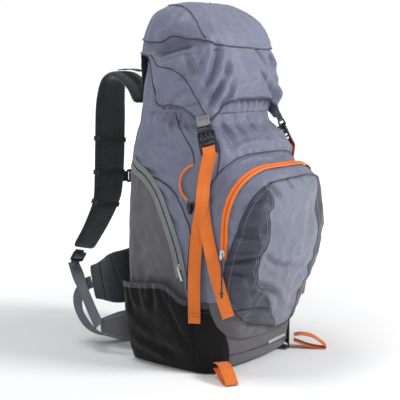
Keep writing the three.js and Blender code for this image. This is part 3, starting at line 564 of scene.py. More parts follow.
# ---------------------------------------------------------------- finishes
class Finish:
    """A material under construction: nodes are added by kind, with their inputs given by name."""

    def __init__(self, name, **shader):
        self.material = bpy.data.materials.new(name)
        self.material.use_nodes = True
        self.tree = self.material.node_tree
        self.tree.nodes.clear()
        out = self.tree.nodes.new("ShaderNodeOutputMaterial")
        self.shader = self.tree.nodes.new("ShaderNodeBsdfPrincipled")
        self.tree.links.new(self.shader.outputs[0], out.inputs["Surface"])
        for socket, value in shader.items():
            self.shader.inputs[socket.replace("_", " ")].default_value = value

    def add(self, kind, settings=None, **inputs):
        """A node of the kind, with its inputs by name, or by number after a low line."""
        node = self.tree.nodes.new("ShaderNode" + kind)
        for key, value in (settings or {}).items():
            setattr(node, key, value)
        for socket, value in inputs.items():
            self.put(node, int(socket[1:]) if socket[0] == "_" else socket.replace("_", " "), value)
        return node.outputs[0] if len(node.outputs) else node

    def put(self, node, socket, value):
        """Links a socket, or sets a plain value."""
        target = node.inputs[socket]
        if isinstance(value, bpy.types.NodeSocket):
            self.tree.links.new(value, target)
        else:
            target.default_value = value

    def maths(self, operation, first, second=0.0):
        """One operation on two numbers."""
        return self.add("Math", {"operation": operation}, _0=first, _1=second)

    def cloth(self):
        """The piece's own cloth coordinates, u and v in millimetres."""
        layer = self.tree.nodes.new("ShaderNodeUVMap")
        layer.uv_map = "Cloth"
        return self.add("Mapping", Vector=layer.outputs[0], Scale=(1 / MM,) * 3)

    def space(self):
        """Coordinates that ride with the piece, in metres."""
        return self.tree.nodes.new("ShaderNodeTexCoord").outputs["Object"]

    def split(self, vector):
        """The three parts of a vector."""
        node = self.tree.nodes.new("ShaderNodeSeparateXYZ")
        self.tree.links.new(vector, node.inputs[0])
        return node.outputs

    def length_of(self, vector):
        """Root of the sum of the squares of a vector."""
        node = self.tree.nodes.new("ShaderNodeVectorMath")
        node.operation = "LENGTH"
        self.tree.links.new(vector, node.inputs[0])
        return node.outputs["Value"]

    def noise(self, vector, scale, detail=3.0, rough=0.5, bent=0.0):
        """Layered noise with so many cells to the unit."""
        return self.add("TexNoise", Vector=vector, Scale=scale, Detail=detail, Roughness=rough, Distortion=bent)

    def fit(self, value, low, high, to_low, to_high):
        """A value carried in a straight line from one range to another and held inside it."""
        node = self.tree.nodes.new("ShaderNodeMapRange")
        for socket, given in zip(("Value", "From Min", "From Max", "To Min", "To Max"),
                                 (value, low, high, to_low, to_high)):
            self.put(node, socket, given)
        return node.outputs[0]

    def blend(self, share, first, second):
        """The first colour at share 0, the second at share 1."""
        node = self.tree.nodes.new("ShaderNodeMix")
        node.data_type = "RGBA"
        for socket, value in ((0, share), (6, first), (7, second)):
            self.put(node, socket, value)
        return node.outputs[2]

    def tones(self, value, rgb, dark, light):
        """A dark to a light tone of the colour while the value goes from 0.3 to 0.7."""
        return self.blend(self.fit(value, 0.3, 0.7, 0, 1), shade(rgb, dark), shade(rgb, light))

    def threads(self, coordinate, period):
        """Height of one set of threads: the absolute sine of the coordinate, one thread each period."""
        return self.maths("ABSOLUTE", self.maths("SINE", self.maths("MULTIPLY", coordinate, math.pi / period)))

    def bump(self, height, distance, strength=1.0):
        """Adds a height to the shading, on top of those added before."""
        self.normal = self.add("Bump", Height=height, Distance=distance, Strength=strength,
                               **({"Normal": self.normal} if hasattr(self, "normal") else {}))

    def done(self, base, rough=None):
        """Sets the shader's colour, roughness and bumps, and returns the material."""
        self.put(self.shader, "Base Color", base)
        if rough is not None:
            self.put(self.shader, "Roughness", rough)
        if hasattr(self, "normal"):
            self.put(self.shader, "Normal", self.normal)
        return self.material


def shade(rgb, factor):
    """A colour times a factor, held to 1."""
    return tuple(min(1.0, c * factor) for c in rgb) + (1.0,)


def kept(maker):
    """Makes each named material once, and hands the same one out again."""
    def get(name, *choices, **settings):
        return bpy.data.materials.get(name) or maker(name, *choices, **settings)

    return get


@kept
def nylon(name, rgb, ripstop=0.0, rough=0.42, sheen=0.25, crinkle=0.5, thread=0.7):
    """Coated nylon: plain weave, soft mottling where the cloth is worn, fine crinkles, and the raised
    yarns of a ripstop grid where its spacing is given in millimetres."""
    f = Finish(name, Sheen_Weight=sheen, Sheen_Roughness=0.45, Specular_IOR_Level=0.45)
    at, space = f.cloth(), f.space()
    u, v, _ = f.split(at)
    cloudy = f.noise(space, 13.0, 4.0, 0.6, 0.4)
    worn = f.noise(space, 75.0, 5.0, 0.65)
    base = f.tones(cloudy, rgb, 0.88, 1.1)
    base = f.blend(f.fit(worn, 0.35, 0.8, 0, 0.35), base, shade(rgb, 1.3))
    weave = f.maths("MULTIPLY", f.threads(u, thread), f.threads(v, thread))
    base = f.blend(f.fit(weave, 0, 1, 0.16, 0), base, shade(rgb, 0.6))
    f.bump(f.noise(space, 42.0, 5.0, 0.62, 1.6), 0.004, crinkle)
    f.bump(f.noise(space, 165.0, 3.0, 0.6, 0.8), 0.0012, crinkle)
    f.bump(weave, 0.00012, 0.5)
    if ripstop:
        lines = [f.fit(f.threads(c, ripstop), 0.0, 0.2, 1, 0) for c in (u, v)]
        grid = f.maths("MAXIMUM", *lines)
        base = f.blend(f.maths("MULTIPLY", grid, 0.42), base, shade(rgb, 0.62))
        f.bump(grid, 0.0004, 0.7)
    return f.done(base, f.fit(worn, 0.3, 0.75, rough - 0.06, rough + 0.12))


@kept
def coarse_cloth(name, rgb, thread=1.1, rough=0.88):
    """Heavy textured cloth: a basket weave of thick yarns, uneven in colour, with rubbed high spots."""
    f = Finish(name, Sheen_Weight=0.2, Sheen_Roughness=0.6, Specular_IOR_Level=0.25)
    at, space = f.cloth(), f.space()
    u, v, _ = f.split(at)
    warp, weft = f.threads(u, thread), f.threads(v, thread)
    weave = f.maths("MAXIMUM", f.maths("MULTIPLY", warp, f.threads(v, thread * 2)),
                    f.maths("MULTIPLY", weft, f.threads(u, thread * 2)))
    cloudy = f.noise(space, 22.0, 5.0, 0.65, 0.3)
    flecks = f.noise(at, 1.3, 2.0, 0.7)
    base = f.tones(cloudy, rgb, 0.84, 1.14)
    base = f.blend(f.fit(flecks, 0.45, 0.7, 0, 0.4), base, shade(rgb, 1.4))
    base = f.blend(f.fit(weave, 0, 0.9, 0.45, 0), base, shade(rgb, 0.45))
    f.bump(f.noise(space, 34.0, 4.0, 0.6, 0.8), 0.003, 0.3)
    f.bump(weave, 0.0004, 0.7)
    return f.done(base, rough)


@kept
def knit(name, rgb, loop=1.5):
    """Stretch knit: two slanted sets of loops, painted dark between them as painted shade in the openings, with a
    soft sheen.
    """
    f = Finish(name, Sheen_Weight=0.12, Sheen_Roughness=0.4, Specular_IOR_Level=0.22)
    at, space = f.cloth(), f.space()
    u, v, _ = f.split(at)
    one = f.threads(f.maths("ADD", u, f.maths("MULTIPLY", v, 0.5)), loop)
    two = f.threads(f.maths("SUBTRACT", u, f.maths("MULTIPLY", v, 0.5)), loop)
    loops = f.maths("MULTIPLY", one, two)
    streaks = f.noise(space, 60.0, 4.0, 0.6, 1.2)
    base = f.tones(streaks, rgb, 0.7, 1.35)
    # Between the loops the knit is painted dark: painted shade in its openings.
    base = f.blend(f.fit(loops, 0.1, 0.8, 0.75, 0), base, shade(rgb, 0.22))
    f.bump(f.noise(space, 48.0, 4.0, 0.6, 1.4), 0.0035, 0.45)
    f.bump(loops, 0.0004, 0.8)
    return f.done(base, 0.72)


@kept
def air_mesh(name, rgb, cell=3.4):
    """Spacer mesh: round holes in a loose hexagonal order with raised yarn between them; the holes are painted
    dark as painted shade.
    """
    f = Finish(name, Sheen_Weight=0.4, Sheen_Roughness=0.5, Specular_IOR_Level=0.25)
    at, space = f.cloth(), f.space()
    cells = f.add("TexVoronoi", {"voronoi_dimensions": "2D"}, Vector=at, Scale=1 / cell, Randomness=0.18)
    walls = f.fit(cells, 0.2, 0.52, 0, 1)
    tone = f.noise(space, 30.0, 4.0, 0.6)
    base = f.tones(tone, rgb, 0.85, 1.2)
    # The holes are painted a quarter as bright: painted shade inside the mesh's openings.
    base = f.blend(walls, shade(rgb, 0.25), base)
    f.bump(f.noise(space, 70.0, 3.0, 0.6), 0.0015, 0.3)
    f.bump(walls, 0.0007, 0.8)
    return f.done(base, 0.82)


@kept
def webbing(name, rgb, width=25.0, rib=1.7, sheen=0.3):
    """Woven webbing: ribs that slant away from the middle on both sides, firmer plain selvages painted lighter as
    a painted highlight on their raised edge, painted shade in the groove inside each selvage, and fluff that
    lightens it here and there."""
    f = Finish(name, Sheen_Weight=sheen, Sheen_Roughness=0.4, Specular_IOR_Level=0.35)
    at, space = f.cloth(), f.space()
    u, v, _ = f.split(at)
    out = f.maths("ABSOLUTE", u)
    ribs = f.threads(f.maths("ADD", v, f.maths("MULTIPLY", out, 0.55)), rib)
    yarns = f.threads(u, 0.9)
    weave = f.maths("MULTIPLY", f.fit(ribs, 0, 1, 0.35, 1), f.fit(yarns, 0, 1, 0.6, 1))
    edge = f.fit(out, width / 2 - 2.6, width / 2 - 1.6, 0, 1)
    groove = f.fit(f.maths("ABSOLUTE", f.maths("SUBTRACT", out, width / 2 - 3.2)), 0, 0.7, 1, 0)
    tone = f.noise(space, 24.0, 4.0, 0.6)
    base = f.tones(tone, rgb, 0.88, 1.1)
    base = f.blend(f.fit(weave, 0.2, 0.9, 0.5, 0), base, shade(rgb, 0.5))
    # The raised selvages are painted lighter: painted highlight.
    base = f.blend(f.maths("MULTIPLY", edge, 0.25), base, shade(rgb, 1.25))
    # The groove inside each selvage is painted darker: painted shade in the recess.
    base = f.blend(f.maths("MULTIPLY", groove, 0.5), base, shade(rgb, 0.45))
    f.bump(weave, 0.0004, 0.8)
    f.bump(groove, 0.0003, -0.6)
    return f.done(base, 0.72)


@kept
def braid(name, rgb):
    """Braided cord: two opposite spirals of yarn."""
    f = Finish(name, Sheen_Weight=0.3, Specular_IOR_Level=0.35)
    u, v, _ = f.split(f.cloth())
    one = f.threads(f.maths("ADD", u, v), 1.6)
    two = f.threads(f.maths("SUBTRACT", u, v), 1.6)
    yarn = f.maths("MAXIMUM", one, two)
    base = f.blend(f.fit(yarn, 0.4, 1, 0.7, 0), shade(rgb, 1.1), shade(rgb, 0.45))
    f.bump(yarn, 0.0004, 0.8)
    return f.done(base, 0.62)


@kept
def moulded(name, rgb, rough=0.4):
    """Injection-moulded plastic: a fine spark-eroded grain and smoother rubbed patches."""
    f = Finish(name, Specular_IOR_Level=0.5, Coat_Weight=0.08, Coat_Roughness=0.3)
    space = f.space()
    grain = f.noise(space, 1500.0, 2.0, 0.6)
    rubbed = f.noise(space, 90.0, 4.0, 0.6)
    base = f.blend(f.fit(rubbed, 0.3, 0.75, 0, 1), shade(rgb, 0.9), shade(rgb, 1.5))
    f.bump(grain, 0.0001, 0.5)
    return f.done(base, f.fit(rubbed, 0.3, 0.7, rough - 0.1, rough + 0.12))


@kept
def cast_metal(name, rgb, rough=0.3):
    """Die-cast zinc or drawn aluminium: bright, with faint brushing and dull worn spots."""
    f = Finish(name, Metallic=1.0)
    space = f.space()
    worn = f.noise(space, 220.0, 5.0, 0.7)
    base = f.tones(worn, rgb, 0.78, 1.05)
    f.bump(f.noise(space, 700.0, 2.0, 0.6), 0.0001, 0.35)
    return f.done(base, f.fit(worn, 0.3, 0.7, rough - 0.08, rough + 0.16))


@kept
def yarn(name, rgb):
    """Sewing thread and bias binding: short slanted twists."""
    f = Finish(name, Sheen_Weight=0.3, Specular_IOR_Level=0.3)
    u, v, _ = f.split(f.cloth())
    twist = f.threads(f.maths("ADD", u, f.maths("MULTIPLY", v, 0.7)), 0.9)
    tone = f.noise(f.space(), 60.0, 3.0, 0.6)
    base = f.tones(tone, rgb, 0.85, 1.15)
    base = f.blend(f.fit(twist, 0, 1, 0.4, 0), base, shade(rgb, 0.5))
    f.bump(twist, 0.0002, 0.6)
    return f.done(base, 0.78)


def body_nylon():
    return nylon("Body nylon", colours().body)


def dark_nylon():
    return nylon("Dark pocket nylon", colours().dark_nylon)


def charcoal_cloth():
    return coarse_cloth("Charcoal boot cloth", colours().charcoal)


def harness_mesh():
    return air_mesh("Harness air mesh", colours().air_mesh)


def orange_webbing():
    return webbing("Orange webbing", colours().orange, 24.0)


def grey_webbing():
    return webbing("Grey webbing", colours().grey)


def black_webbing():
    return webbing("Black webbing", colours().black, 20.0)


def piping_cloth():
    return yarn("Dark piping", colours().piping)


def thread():
    return yarn("Topstitch thread", colours().thread)


def dark_thread():
    return yarn("Dark thread", colours().piping)


def black_plastic():
    return moulded("Black plastic", colours().plastic)


def zinc():
    return cast_metal("Zinc slider", colours().metal)


# ---------------------------------------------------------------- stage
class PACK_OT_stage(bpy.types.Operator):
    """Floor with a painted glow further out, soft lights and the camera"""

    bl_idname = "pack.stage"
    bl_label = "Stage"

    def execute(self, context):
        st = context.scene.stage_settings
        middle = Vector((0, 0, 0.345))
        back = Vector((math.sin(st.bearing) * math.cos(st.height), -math.cos(st.bearing) * math.cos(st.height),
                       math.sin(st.height)))
        camera = bpy.data.objects.new("Camera", bpy.data.cameras.new("Camera"))
        camera.data.lens = st.lens
        camera.location = middle + back * st.distance
        right = Vector((0, 0, 1)).cross(back).normalized()
        aim = middle - right * 0.0186 - back.cross(right) * 0.0558
        camera.rotation_mode = "QUATERNION"
        camera.rotation_quaternion = (aim - camera.location).to_track_quat("-Z", "Y")
        context.scene.collection.objects.link(camera)
        context.scene.camera = camera
        for name, place, size, power in (("Key", (0.9, -2.5, 1.9), 1.0, st.key),
                                         ("Fill", (-2.5, -0.2, 1.5), 1.4, st.fill),
                                         ("Top", (-0.5, 0.5, 2.6), 1.0, st.fill * 2.6)):
            lamp = bpy.data.objects.new(name, bpy.data.lights.new(name, "AREA"))
            lamp.data.energy, lamp.data.size = power, size
            lamp.location = place
            lamp.rotation_mode = "QUATERNION"
            lamp.rotation_quaternion = (middle - Vector(place)).to_track_quat("-Z", "Y")
            context.scene.collection.objects.link(lamp)
        world = bpy.data.worlds.new("Studio")
        world.use_nodes = True
        tree = world.node_tree
        room = tree.nodes["Background"]
        room.inputs[0].default_value = (0.93, 0.96, 1.0, 1)
        room.inputs[1].default_value = st.room
        paper = tree.nodes.new("ShaderNodeBackground")
        paper.inputs[0].default_value = (1.0, 1.0, 1.0, 1)
        choice, path = tree.nodes.new("ShaderNodeMixShader"), tree.nodes.new("ShaderNodeLightPath")
        tree.links.new(path.outputs["Is Camera Ray"], choice.inputs[0])
        tree.links.new(room.outputs[0], choice.inputs[1])
        tree.links.new(paper.outputs[0], choice.inputs[2])
        tree.links.new(choice.outputs[0], tree.nodes["World Output"].inputs[0])
        context.scene.world = world
        context.scene.view_settings.view_transform = "Standard"
        floor = bpy.data.meshes.new("Floor")
        floor.from_pydata([(-9, -9, 0), (9, -9, 0), (9, 9, 0), (-9, 9, 0)], [], [(0, 1, 2, 3)])
        paint = Finish("Floor paint", Specular_IOR_Level=0.1)
        soft = paint.noise(paint.space(), 2.0, 3.0)
        tone = shade(st.floor, 1.0)
        # The floor glows white, more the further it lies from the pack's middle: painted light that fades the
        # floor into the white backdrop.
        paint.put(paint.shader, "Emission Color", (1.0, 1.0, 1.0, 1.0))
        paint.put(paint.shader, "Emission Strength",
                  paint.fit(paint.length_of(paint.space()), 0.45, 2.2, 0.0, 1.0))
        floor.materials.append(paint.done(paint.blend(paint.fit(soft, 0.3, 0.7, 0, 1), tone,
                shade(st.floor, 1.03)), 0.85))
        ground = bpy.data.objects.new("Floor", floor)
        context.scene.collection.objects.link(ground)
        return {"FINISHED"}


# ---------------------------------------------------------------- cords
PULL_CORD = np.array([[-136.249, -131.859, 212.187 - drop] for drop in range(0, 61, 10)])
KEEPER_CORD = np.array([[-131.5, -66, 369], [-136, -58, 364], [-139.5, -50, 355], [-141.5, -46, 344],
                        [-142.5, -46, 332], [-142.5, -50, 321], [-142, -56, 313], [-141, -61, 308]], float)
KEEPER_LOCK = np.array([-141.9, -67.4, 297.6])
PULL_DIAMETER, KEEPER_DIAMETER = 3.0, 4.5


class PACK_OT_pull_cord(bpy.types.Operator):
    """The front zip's pull cord with its knotted end"""

    bl_idname = "pack.pull_cord"
    bl_label = "Zip pull cord"

    def execute(self, context):
        path = curve(PULL_CORD, 22)
        finish = braid("Dark braided cord", colours().black)
        made = make("zip_pull_cord", [tube(path, PULL_DIAMETER / 2, 10)], finish, "front_zip_pull",
                    "front_zip_cord")
        end = path[-1]
        knot = make("zip_pull_knot", [pillow(end + [0, 0, 1], (6.4, 6.0, 5.5), power=0.8),
                                      pillow(end + [0, 0, -4], (4.2, 4.2, 7), power=0.9)],
                    finish, "front_zip_pull")
        return {"FINISHED"}


class PACK_OT_pole_keepers(bpy.types.Operator):
    """Pole keepers: an orange cord loop with a sprung cord lock on each side"""

    bl_idname = "pack.pole_keepers"
    bl_label = "Pole keepers"

    def execute(self, context):
        orange = braid("Orange braided cord", colours().orange)
        for side, sign in BOTH:
            turn = np.array([sign, 1.0, 1.0])
            path = curve(KEEPER_CORD * turn, 26)
            made = make(f"keeper_cord_{side}", [tube(path, KEEPER_DIAMETER / 2, 10)], orange, "pack",
                        f"pole_keeper_cord_{side}")
            middle = KEEPER_LOCK * turn
            lock = make(f"keeper_lock_{side}", self.barrel(middle), black_plastic(), "pack",
                        f"pole_keeper_lock_{side}")
            cap = pillow(middle + [0, 0, -9.8], (6.0, 6.0, 7.0), power=0.55)
            make(f"keeper_button_{side}", [cap], black_plastic(), f"keeper_button_{side}",
                 f"pole_keeper_plunger_{side}")
        return {"FINISHED"}

    def barrel(self, middle):
        """A turned profile, radius against height, with three grip rings, and a collar at its open end."""
        h = np.array([6.5, 6.5, 6.2, 5, 3.6, 3.2, 2.6, 2.2, 0.6, 0.2, -0.4, -0.8, -2.4, -2.8, -3.4, -5.6, -6.3,
                      -6.5, -6.5, -1])
        r = np.array([0.05, 4.6, 5.6, 6, 6, 5.3, 5.3, 6, 6, 5.3, 5.3, 6, 6, 5.3, 5.7, 5.9, 5.6, 5.2, 4.0, 3.9])
        t = np.linspace(0, 2 * math.pi, 24, endpoint=False)
        grid = points(r[:, None] * np.cos(t), r[:, None] * np.sin(t), np.broadcast_to(h[:, None], (len(h), 24)))
        eye = np.array([[0, -5.2, 3.9], [0, -7.0, 3.9], [0, -7.0, -1.2], [0, -5.2, -1.2]])
        return [part(grid + middle, around=True, caps=True), tube(curve(eye + middle, 12), 1.2)]


# ---------------------------------------------------------------- body
# Folds on the body: girth and height of start and end, half width, height of the fold and its bow.
SIDE_FOLDS = [(-283, 349, -232, 352, 5, -3.4, 2), (-262, 346, -196, 316, 7, -4.2, 4),
              (-256, 326, -206, 294, 6, -4.4, 3),
              (-246, 308, -194, 262, 5, -3.2, 3), (-222, 292, -186, 250, 5, -2.6, 2),
              (-284, 412, -226, 414, 13, -3.6, 5),
              (-208, 470, -216, 424, 5, -3.0, 0), (-192, 468, -196, 436, 4, -2.4, 0),
              (-230, 468, -240, 440, 5, -2.6, 2),
              (-176, 440, -186, 372, 9, -2.8, 6), (-262, 386, -214, 372, 7, 2.2, -3),
              (-178, 236, -166, 180, 5, -2.2, 1),
              (-250, 398, -200, 386, 5, -2.0, 3)]
FRONT_FOLDS = [(-82, 452, -106, 384, 10, -3.8, -4), (-40, 462, -58, 410, 8, -2.6, 4),
               (-96, 396, -18, 398, 4, 2.2, 4),
               (-60, 404, 40, 402, 4, 1.9, 3), (30, 452, 84, 400, 7, -2.8, -5), (0, 455, 6, 418, 6, -2.0, 0),
               (58, 460, 100, 430, 5, -2.4, 2), (70, 410, 116, 380, 5, 2.2, 2), (104, 440, 132, 400, 6, -2.6, 0)]


def body_relief(turn, z):
    """How far the cloth stands off the body's outline, in millimetres: stuffing between the seams,
    the placed folds on both sides, and small creases."""
    turn, z = np.broadcast_arrays(np.asarray(turn, float), np.asarray(z, float))
    a = girth(turn)
    stuffed = 2.4 * np.sin(math.pi * np.clip((z - 50) / 412, 0, 1)) ** 0.7
    folds = creases(a, z, SIDE_FOLDS + FRONT_FOLDS) + creases(-a, z - 5, SIDE_FOLDS)
    small = crumple(a, z, 52.0, 5) * sizes().crumple / MM * 1.2 + crumple(a, z, 22.0,
            8) * sizes().crumple / MM * 0.2
    pinch = 0.35 + 0.65 * smooth(np.abs(turn - STRAP_TURN), 0.1,
                                 0.35) * smooth(np.abs(MIRROR_SUM - turn - STRAP_TURN), 0.1, 0.35)
    back = smooth(np.abs(turn - FRONT_MIDDLE), 2.7, 3.1)
    beside = np.minimum(np.abs(turn - row_at(SIDE_ZIP, z)[..., 0]),
                        np.abs(MIRROR_SUM - turn - row_at(SIDE_ZIP, z)[..., 0]))
    calm = 1 - 0.8 * np.exp(-((beside / 0.16) ** 2)) * smooth(z, 372, 350)
    return mix((stuffed + (folds + small) * calm) * pinch, 0.0, back)


def wall(turn, z, lift=0.0):
    """The body's outline moved out by its relief and lift."""
    return over_body(turn, z, body_relief(turn, z) + lift)


SIDE_ZIP = np.array([[120, 3.0], [172, 2.96], [210, 2.9], [245, 2.79], [279, 2.64], [312, 2.46], [337, 2.25],
                     [352, 2.02],
                     [366, 1.66]], float)


def zip_turn(z):
    """Place round the outline of the bowed side zip at each height; above its top it runs to the rear."""
    line = row_at(SIDE_ZIP, z)[..., 0]
    return mix(line, 1.52, smooth(z, ZIP_TOP - 20, ZIP_TOP))


def boot_top(turn):
    """Upper edge of the base boot: low under the pocket and swept up at the front corners."""
    off = np.abs(np.mod(turn, 8) - FRONT_MIDDLE)
    return 57 + 56 * smooth(off, 0.42, 0.98) - 58 * smooth(off, 2.0, 3.0)


SEAM_KNOTS = [(2.06, 343), (2.373, 341), (2.6, 329), (2.775, 316), (2.93, 298), (3.023, 282), (3.116, 264),
              (3.15, 245),
              (3.12, 215), (3.07, 180), (3.03, 150)]
CHEST_SEAM = [(2.70, 462), (2.736, 452), (2.83, 425), (2.935, 398), (3.05, 372)]
REAR_SEAM = [(1.52, 462), (1.54, 400), (1.56, 330)]


def on_wall(knots, count, lift):
    """Points on the wall along a smooth curve through knots of place round and height."""
    at = curve([(turn * 60, z, 0) for turn, z in knots], count)
    return wall(at[:, 0] / 60, at[:, 1], lift)


def mirror_turn(turn, sign):
    """The same place, or its mirror image on the right."""
    return turn if sign > 0 else MIRROR_SUM - turn


class PACK_OT_body(bpy.types.Operator):
    """The four body walls, with the coarse lower corners behind the side zips"""

    bl_idname = "pack.body"
    bl_label = "Body walls"

    def execute(self, context):
        thick = sizes().cloth / MM
        z = np.linspace(WALL_FOOT, WALL_TOP + 2, 150)[None]
        f = np.linspace(0, 1, 120)[:, None]
        for side, sign in BOTH:
            start = np.where(z < ZIP_TOP, zip_turn(z), REAR_CORNER)
            turns = mix(start, FRONT_CORNER, f)
            turns = turns if sign > 0 else MIRROR_SUM - turns[::-1]
            make(f"side_wall_{side}", [part(wall(turns, z))], body_nylon(), "pack",
                 f"side_panel_{side}", closed=False, thick=thick)
            low = np.linspace(WALL_FOOT, ZIP_TOP, 110)[None]
            g = np.linspace(0, 1, 60)[:, None]
            turns = mix(REAR_CORNER, zip_turn(low) + 0.004, g)
            turns = turns if sign > 0 else MIRROR_SUM - turns[::-1]
            make(f"rear_corner_{side}", [part(wall(turns, low, 0.4))], charcoal_cloth(),
                 closed=False, thick=thick)
        turns = np.linspace(FRONT_CORNER, FRONT_CORNER + 2, 170)[:, None]
        make("front_wall", [part(wall(turns, z))], body_nylon(), "pack", "front_panel",
             closed=False, thick=thick)
        turns = np.linspace(-0.5, 1.5, 60)[:, None]
        heights = np.linspace(WALL_FOOT, WALL_TOP + 1, 60)[None]
        make("back_wall", [part(over_body(turns, heights, 0.0))],
             air_mesh("Back cloth", colours().back_cloth, 2.2),
             "pack", "back_panel", closed=False, thick=thick)
        self.seams()
        return {"FINISHED"}

    def seams(self):
        """Piping through each row of knots on both sides, with stitches beside it."""
        welts, stitches = [], []
        for side, sign in BOTH:
            for knots in (SEAM_KNOTS, CHEST_SEAM, REAR_SEAM):
                placed = [(mirror_turn(t, sign), z) for t, z in knots]
                welts.append(tube(on_wall(placed, 60, 0.5), 1.15))
                beside = [(mirror_turn(t + 0.035, sign), z + 2) for t, z in knots]
                path = on_wall(beside, 60, 0.15)
                stitches.append(stitching(path, unit(path * [1, 1, 0]), 0.2))
            placed = [(mirror_turn(FRONT_CORNER, sign), z) for z in np.linspace(110, 462, 12)]
            welts.append(tube(on_wall(placed, 90, 0.3), 1.0))
        make("body_welts", welts, piping_cloth())
        make("body_stitching", stitches, thread())


class PACK_OT_boot(bpy.types.Operator):
    """The reinforced base boot, its seam, binding and the reflective strip"""

    bl_idname = "pack.boot"
    bl_label = "Base boot"

    def execute(self, context):
        turns = np.linspace(0, 8, 241)[:-1]
        f = np.linspace(0, 1, 16)
        top = boot_top(turns)
        upper = body_point(turns[:, None], mix(top[:, None], BASE_TOP, f), -2.0)
        low_rows = np.array([[50, -1.6], [38, -0.6], [26, 0.6], [17, 3.2], [10, 7.8], [5, 14.5], [2.2, 21],
                             [0.6, 29],
                             [0, 36], [0, 62]], float)
        at = row_at(np.column_stack([np.arange(10), low_rows]), np.linspace(0.25, 9, 34))
        row = row_at(BODY, BASE_TOP)
        sag = 0.8 * np.sin(turns[:, None] * 9 + 2) * np.sin(np.pi * np.clip(at[None, :, 0] / 50, 0, 1))
        x, y = outline(turns[:, None], row[None, None], at[None, :, 1] - sag)
        lower = points(x, y, np.broadcast_to(at[None, :, 0], x.shape))
        grid = np.concatenate([upper, lower], 1)
        grid = grid.transpose(1, 0, 2)
        make("base_boot", [part(grid, around=True)], charcoal_cloth(), "pack", "base_panel",
             closed=False, thick=1.2)
        floor_ring = grid[-1]
        disc = np.stack([floor_ring * k + floor_ring.mean(0) * (1 - k) for k in (1.0, 0.7, 0.4, 0.1)])
        make("base_floor", [part(disc + [0, 0, 0.1], around=True, caps=True)], charcoal_cloth(),
             closed=False)
        ring = np.append(turns, 8.0)
        edge = body_point(ring, boot_top(ring), -2.4)
        band = outline(ring, row, 0.4)
        seam = points(band[0], band[1],
                      30 + 9 * smooth(np.abs(ring - FRONT_MIDDLE), 0.5, 1.3) - 6 * smooth(ring, 4.6, 5.2))
        make("boot_welts", [tube(edge, 1.2), tube(seam + unit(seam * [1, 1, 0]) * 0.9, 0.9)], piping_cloth())
        lower_edge = body_point(ring, boot_top(ring) - 4, -2.4)
        make("boot_stitching", [stitching(lower_edge, unit(lower_edge * [1, 1, 0]), 0.3)], thread())
        at = np.linspace(4.62, 5.06, 20)
        x, y = outline(at, row, -1.5)
        strip = points(x, y, 33 + 1.0 * np.sin((at - 4.6) * 5))
        make("reflective_strip", [ribbon(strip, (0, 0, 1), 5.5, 0.8)],
             cast_metal("Reflective tape", srgb(214, 216, 218), 0.5))
        return {"FINISHED"}


class PACK_OT_collar(bpy.types.Operator):
    """The gathered collar under the lid, with its drawcord hem"""

    bl_idname = "pack.collar"
    bl_label = "Collar"

    def execute(self, context):
        turns = np.linspace(0, 8, 481)[:-1]
        z = np.linspace(WALL_TOP - 6, COLLAR_TOP + 4, 46)
        a = girth(turns)[:, None]
        f = np.linspace(0, 1, 46)[None]
        gathers = np.sin(a / 4.1 + 1.1 * np.sin(a / 23)) * (0.6 + 0.4 * np.sin(a / 37 + 1))
        puff = 5.5 * np.exp(-((f - 0.2) / 0.16) ** 2) * smooth(np.abs(turns - FRONT_MIDDLE), 1.6, 0.8)[:, None]
        out = 0.4 + gathers * (1.2 + 1.2 * f) * smooth(f, 0.0, 0.25) + puff * (1 + 0.35 * gathers)
        out = np.minimum(out, 9.0) - 4.0 * smooth(f, 0.5, 1.0)
        grid = body_point(turns[:, None], np.broadcast_to(z[None], (480, 46)), -out)
        grid = grid.transpose(1, 0, 2)
        collar = make("collar_cloth", [part(grid, around=True)], body_nylon(), "pack", "collar",
                      closed=False, thick=0.8)
        ring = np.append(turns, 8.0)
        hem = body_point(ring, COLLAR_TOP + 3, 3.2)
        cord = make("collar_hem", [tube(hem, 2.0)], dark_nylon())
        return {"FINISHED"}


# ---------------------------------------------------------------- front pocket
# Folds on the pocket's face: x and height of start and end, half width, height and bow.
POCKET_FOLDS = [(-126, 258, -86, 264, 10, -4.6, -3), (-126, 241, -92, 238, 6, 2.6, 0),
                (-127, 206, -92, 214, 4, -5.0, 2),
                (-124, 192, -96, 168, 5, -3.8, 3), (-112, 152, -84, 150, 9, -3.2, 0),
                (-108, 119, -26, 108, 3.6, -4.2, 3),
                (-92, 100, 6, 76, 5, 2.8, 6), (-86, 218, 8, 186, 5.5, -4.2, -8),
                (-94, 168, -6, 124, 5.5, -5.4, 6),
                (-60, 128, 30, 118, 7, 2.2, 4), (-76, 340, -58, 312, 5, -4.2, 0),
                (-30, 345, -22, 325, 4, -2.4, 0),
                (10, 344, 14, 328, 4, -2.2, 0), (52, 338, 40, 318, 5, -2.4, 0), (30, 160, 90, 176, 8, -2.6, 4),
                (20, 262, 84, 300, 16, -2.4, 6), (-20, 300, 60, 250, 16, 1.8, 0), (96, 300, 116, 250, 6, -3.2, 0),
                (98, 230, 116, 170, 6, -2.6, 0), (-20, 92, 60, 96, 5, -2.2, 2), (-118, 300, -92, 316, 5, -2.4, 0)]
PIPING_KNOTS = [(-180, 0.955), (-165, 0.955), (-154, 0.935), (-146, 0.88), (-134, 0.82), (-112, 0.83),
                (-88, 0.905),
                (-66, 0.955), (-48, 0.95), (-30, 0.945), (0, 0.925),
                (30, 0.905), (60, 0.86), (90, 0.85), (120, 0.845), (150, 0.90), (180, 0.955)]
LEFT_SEAM = [(-1, 0.10), (-0.906, 0.044), (-0.548, -0.491), (-0.27, -0.66), (-0.076, -0.757), (0.142, -0.725),
             (0.333, -0.662), (0.668, -0.79), (0.891, -0.705), (1, -0.68)]
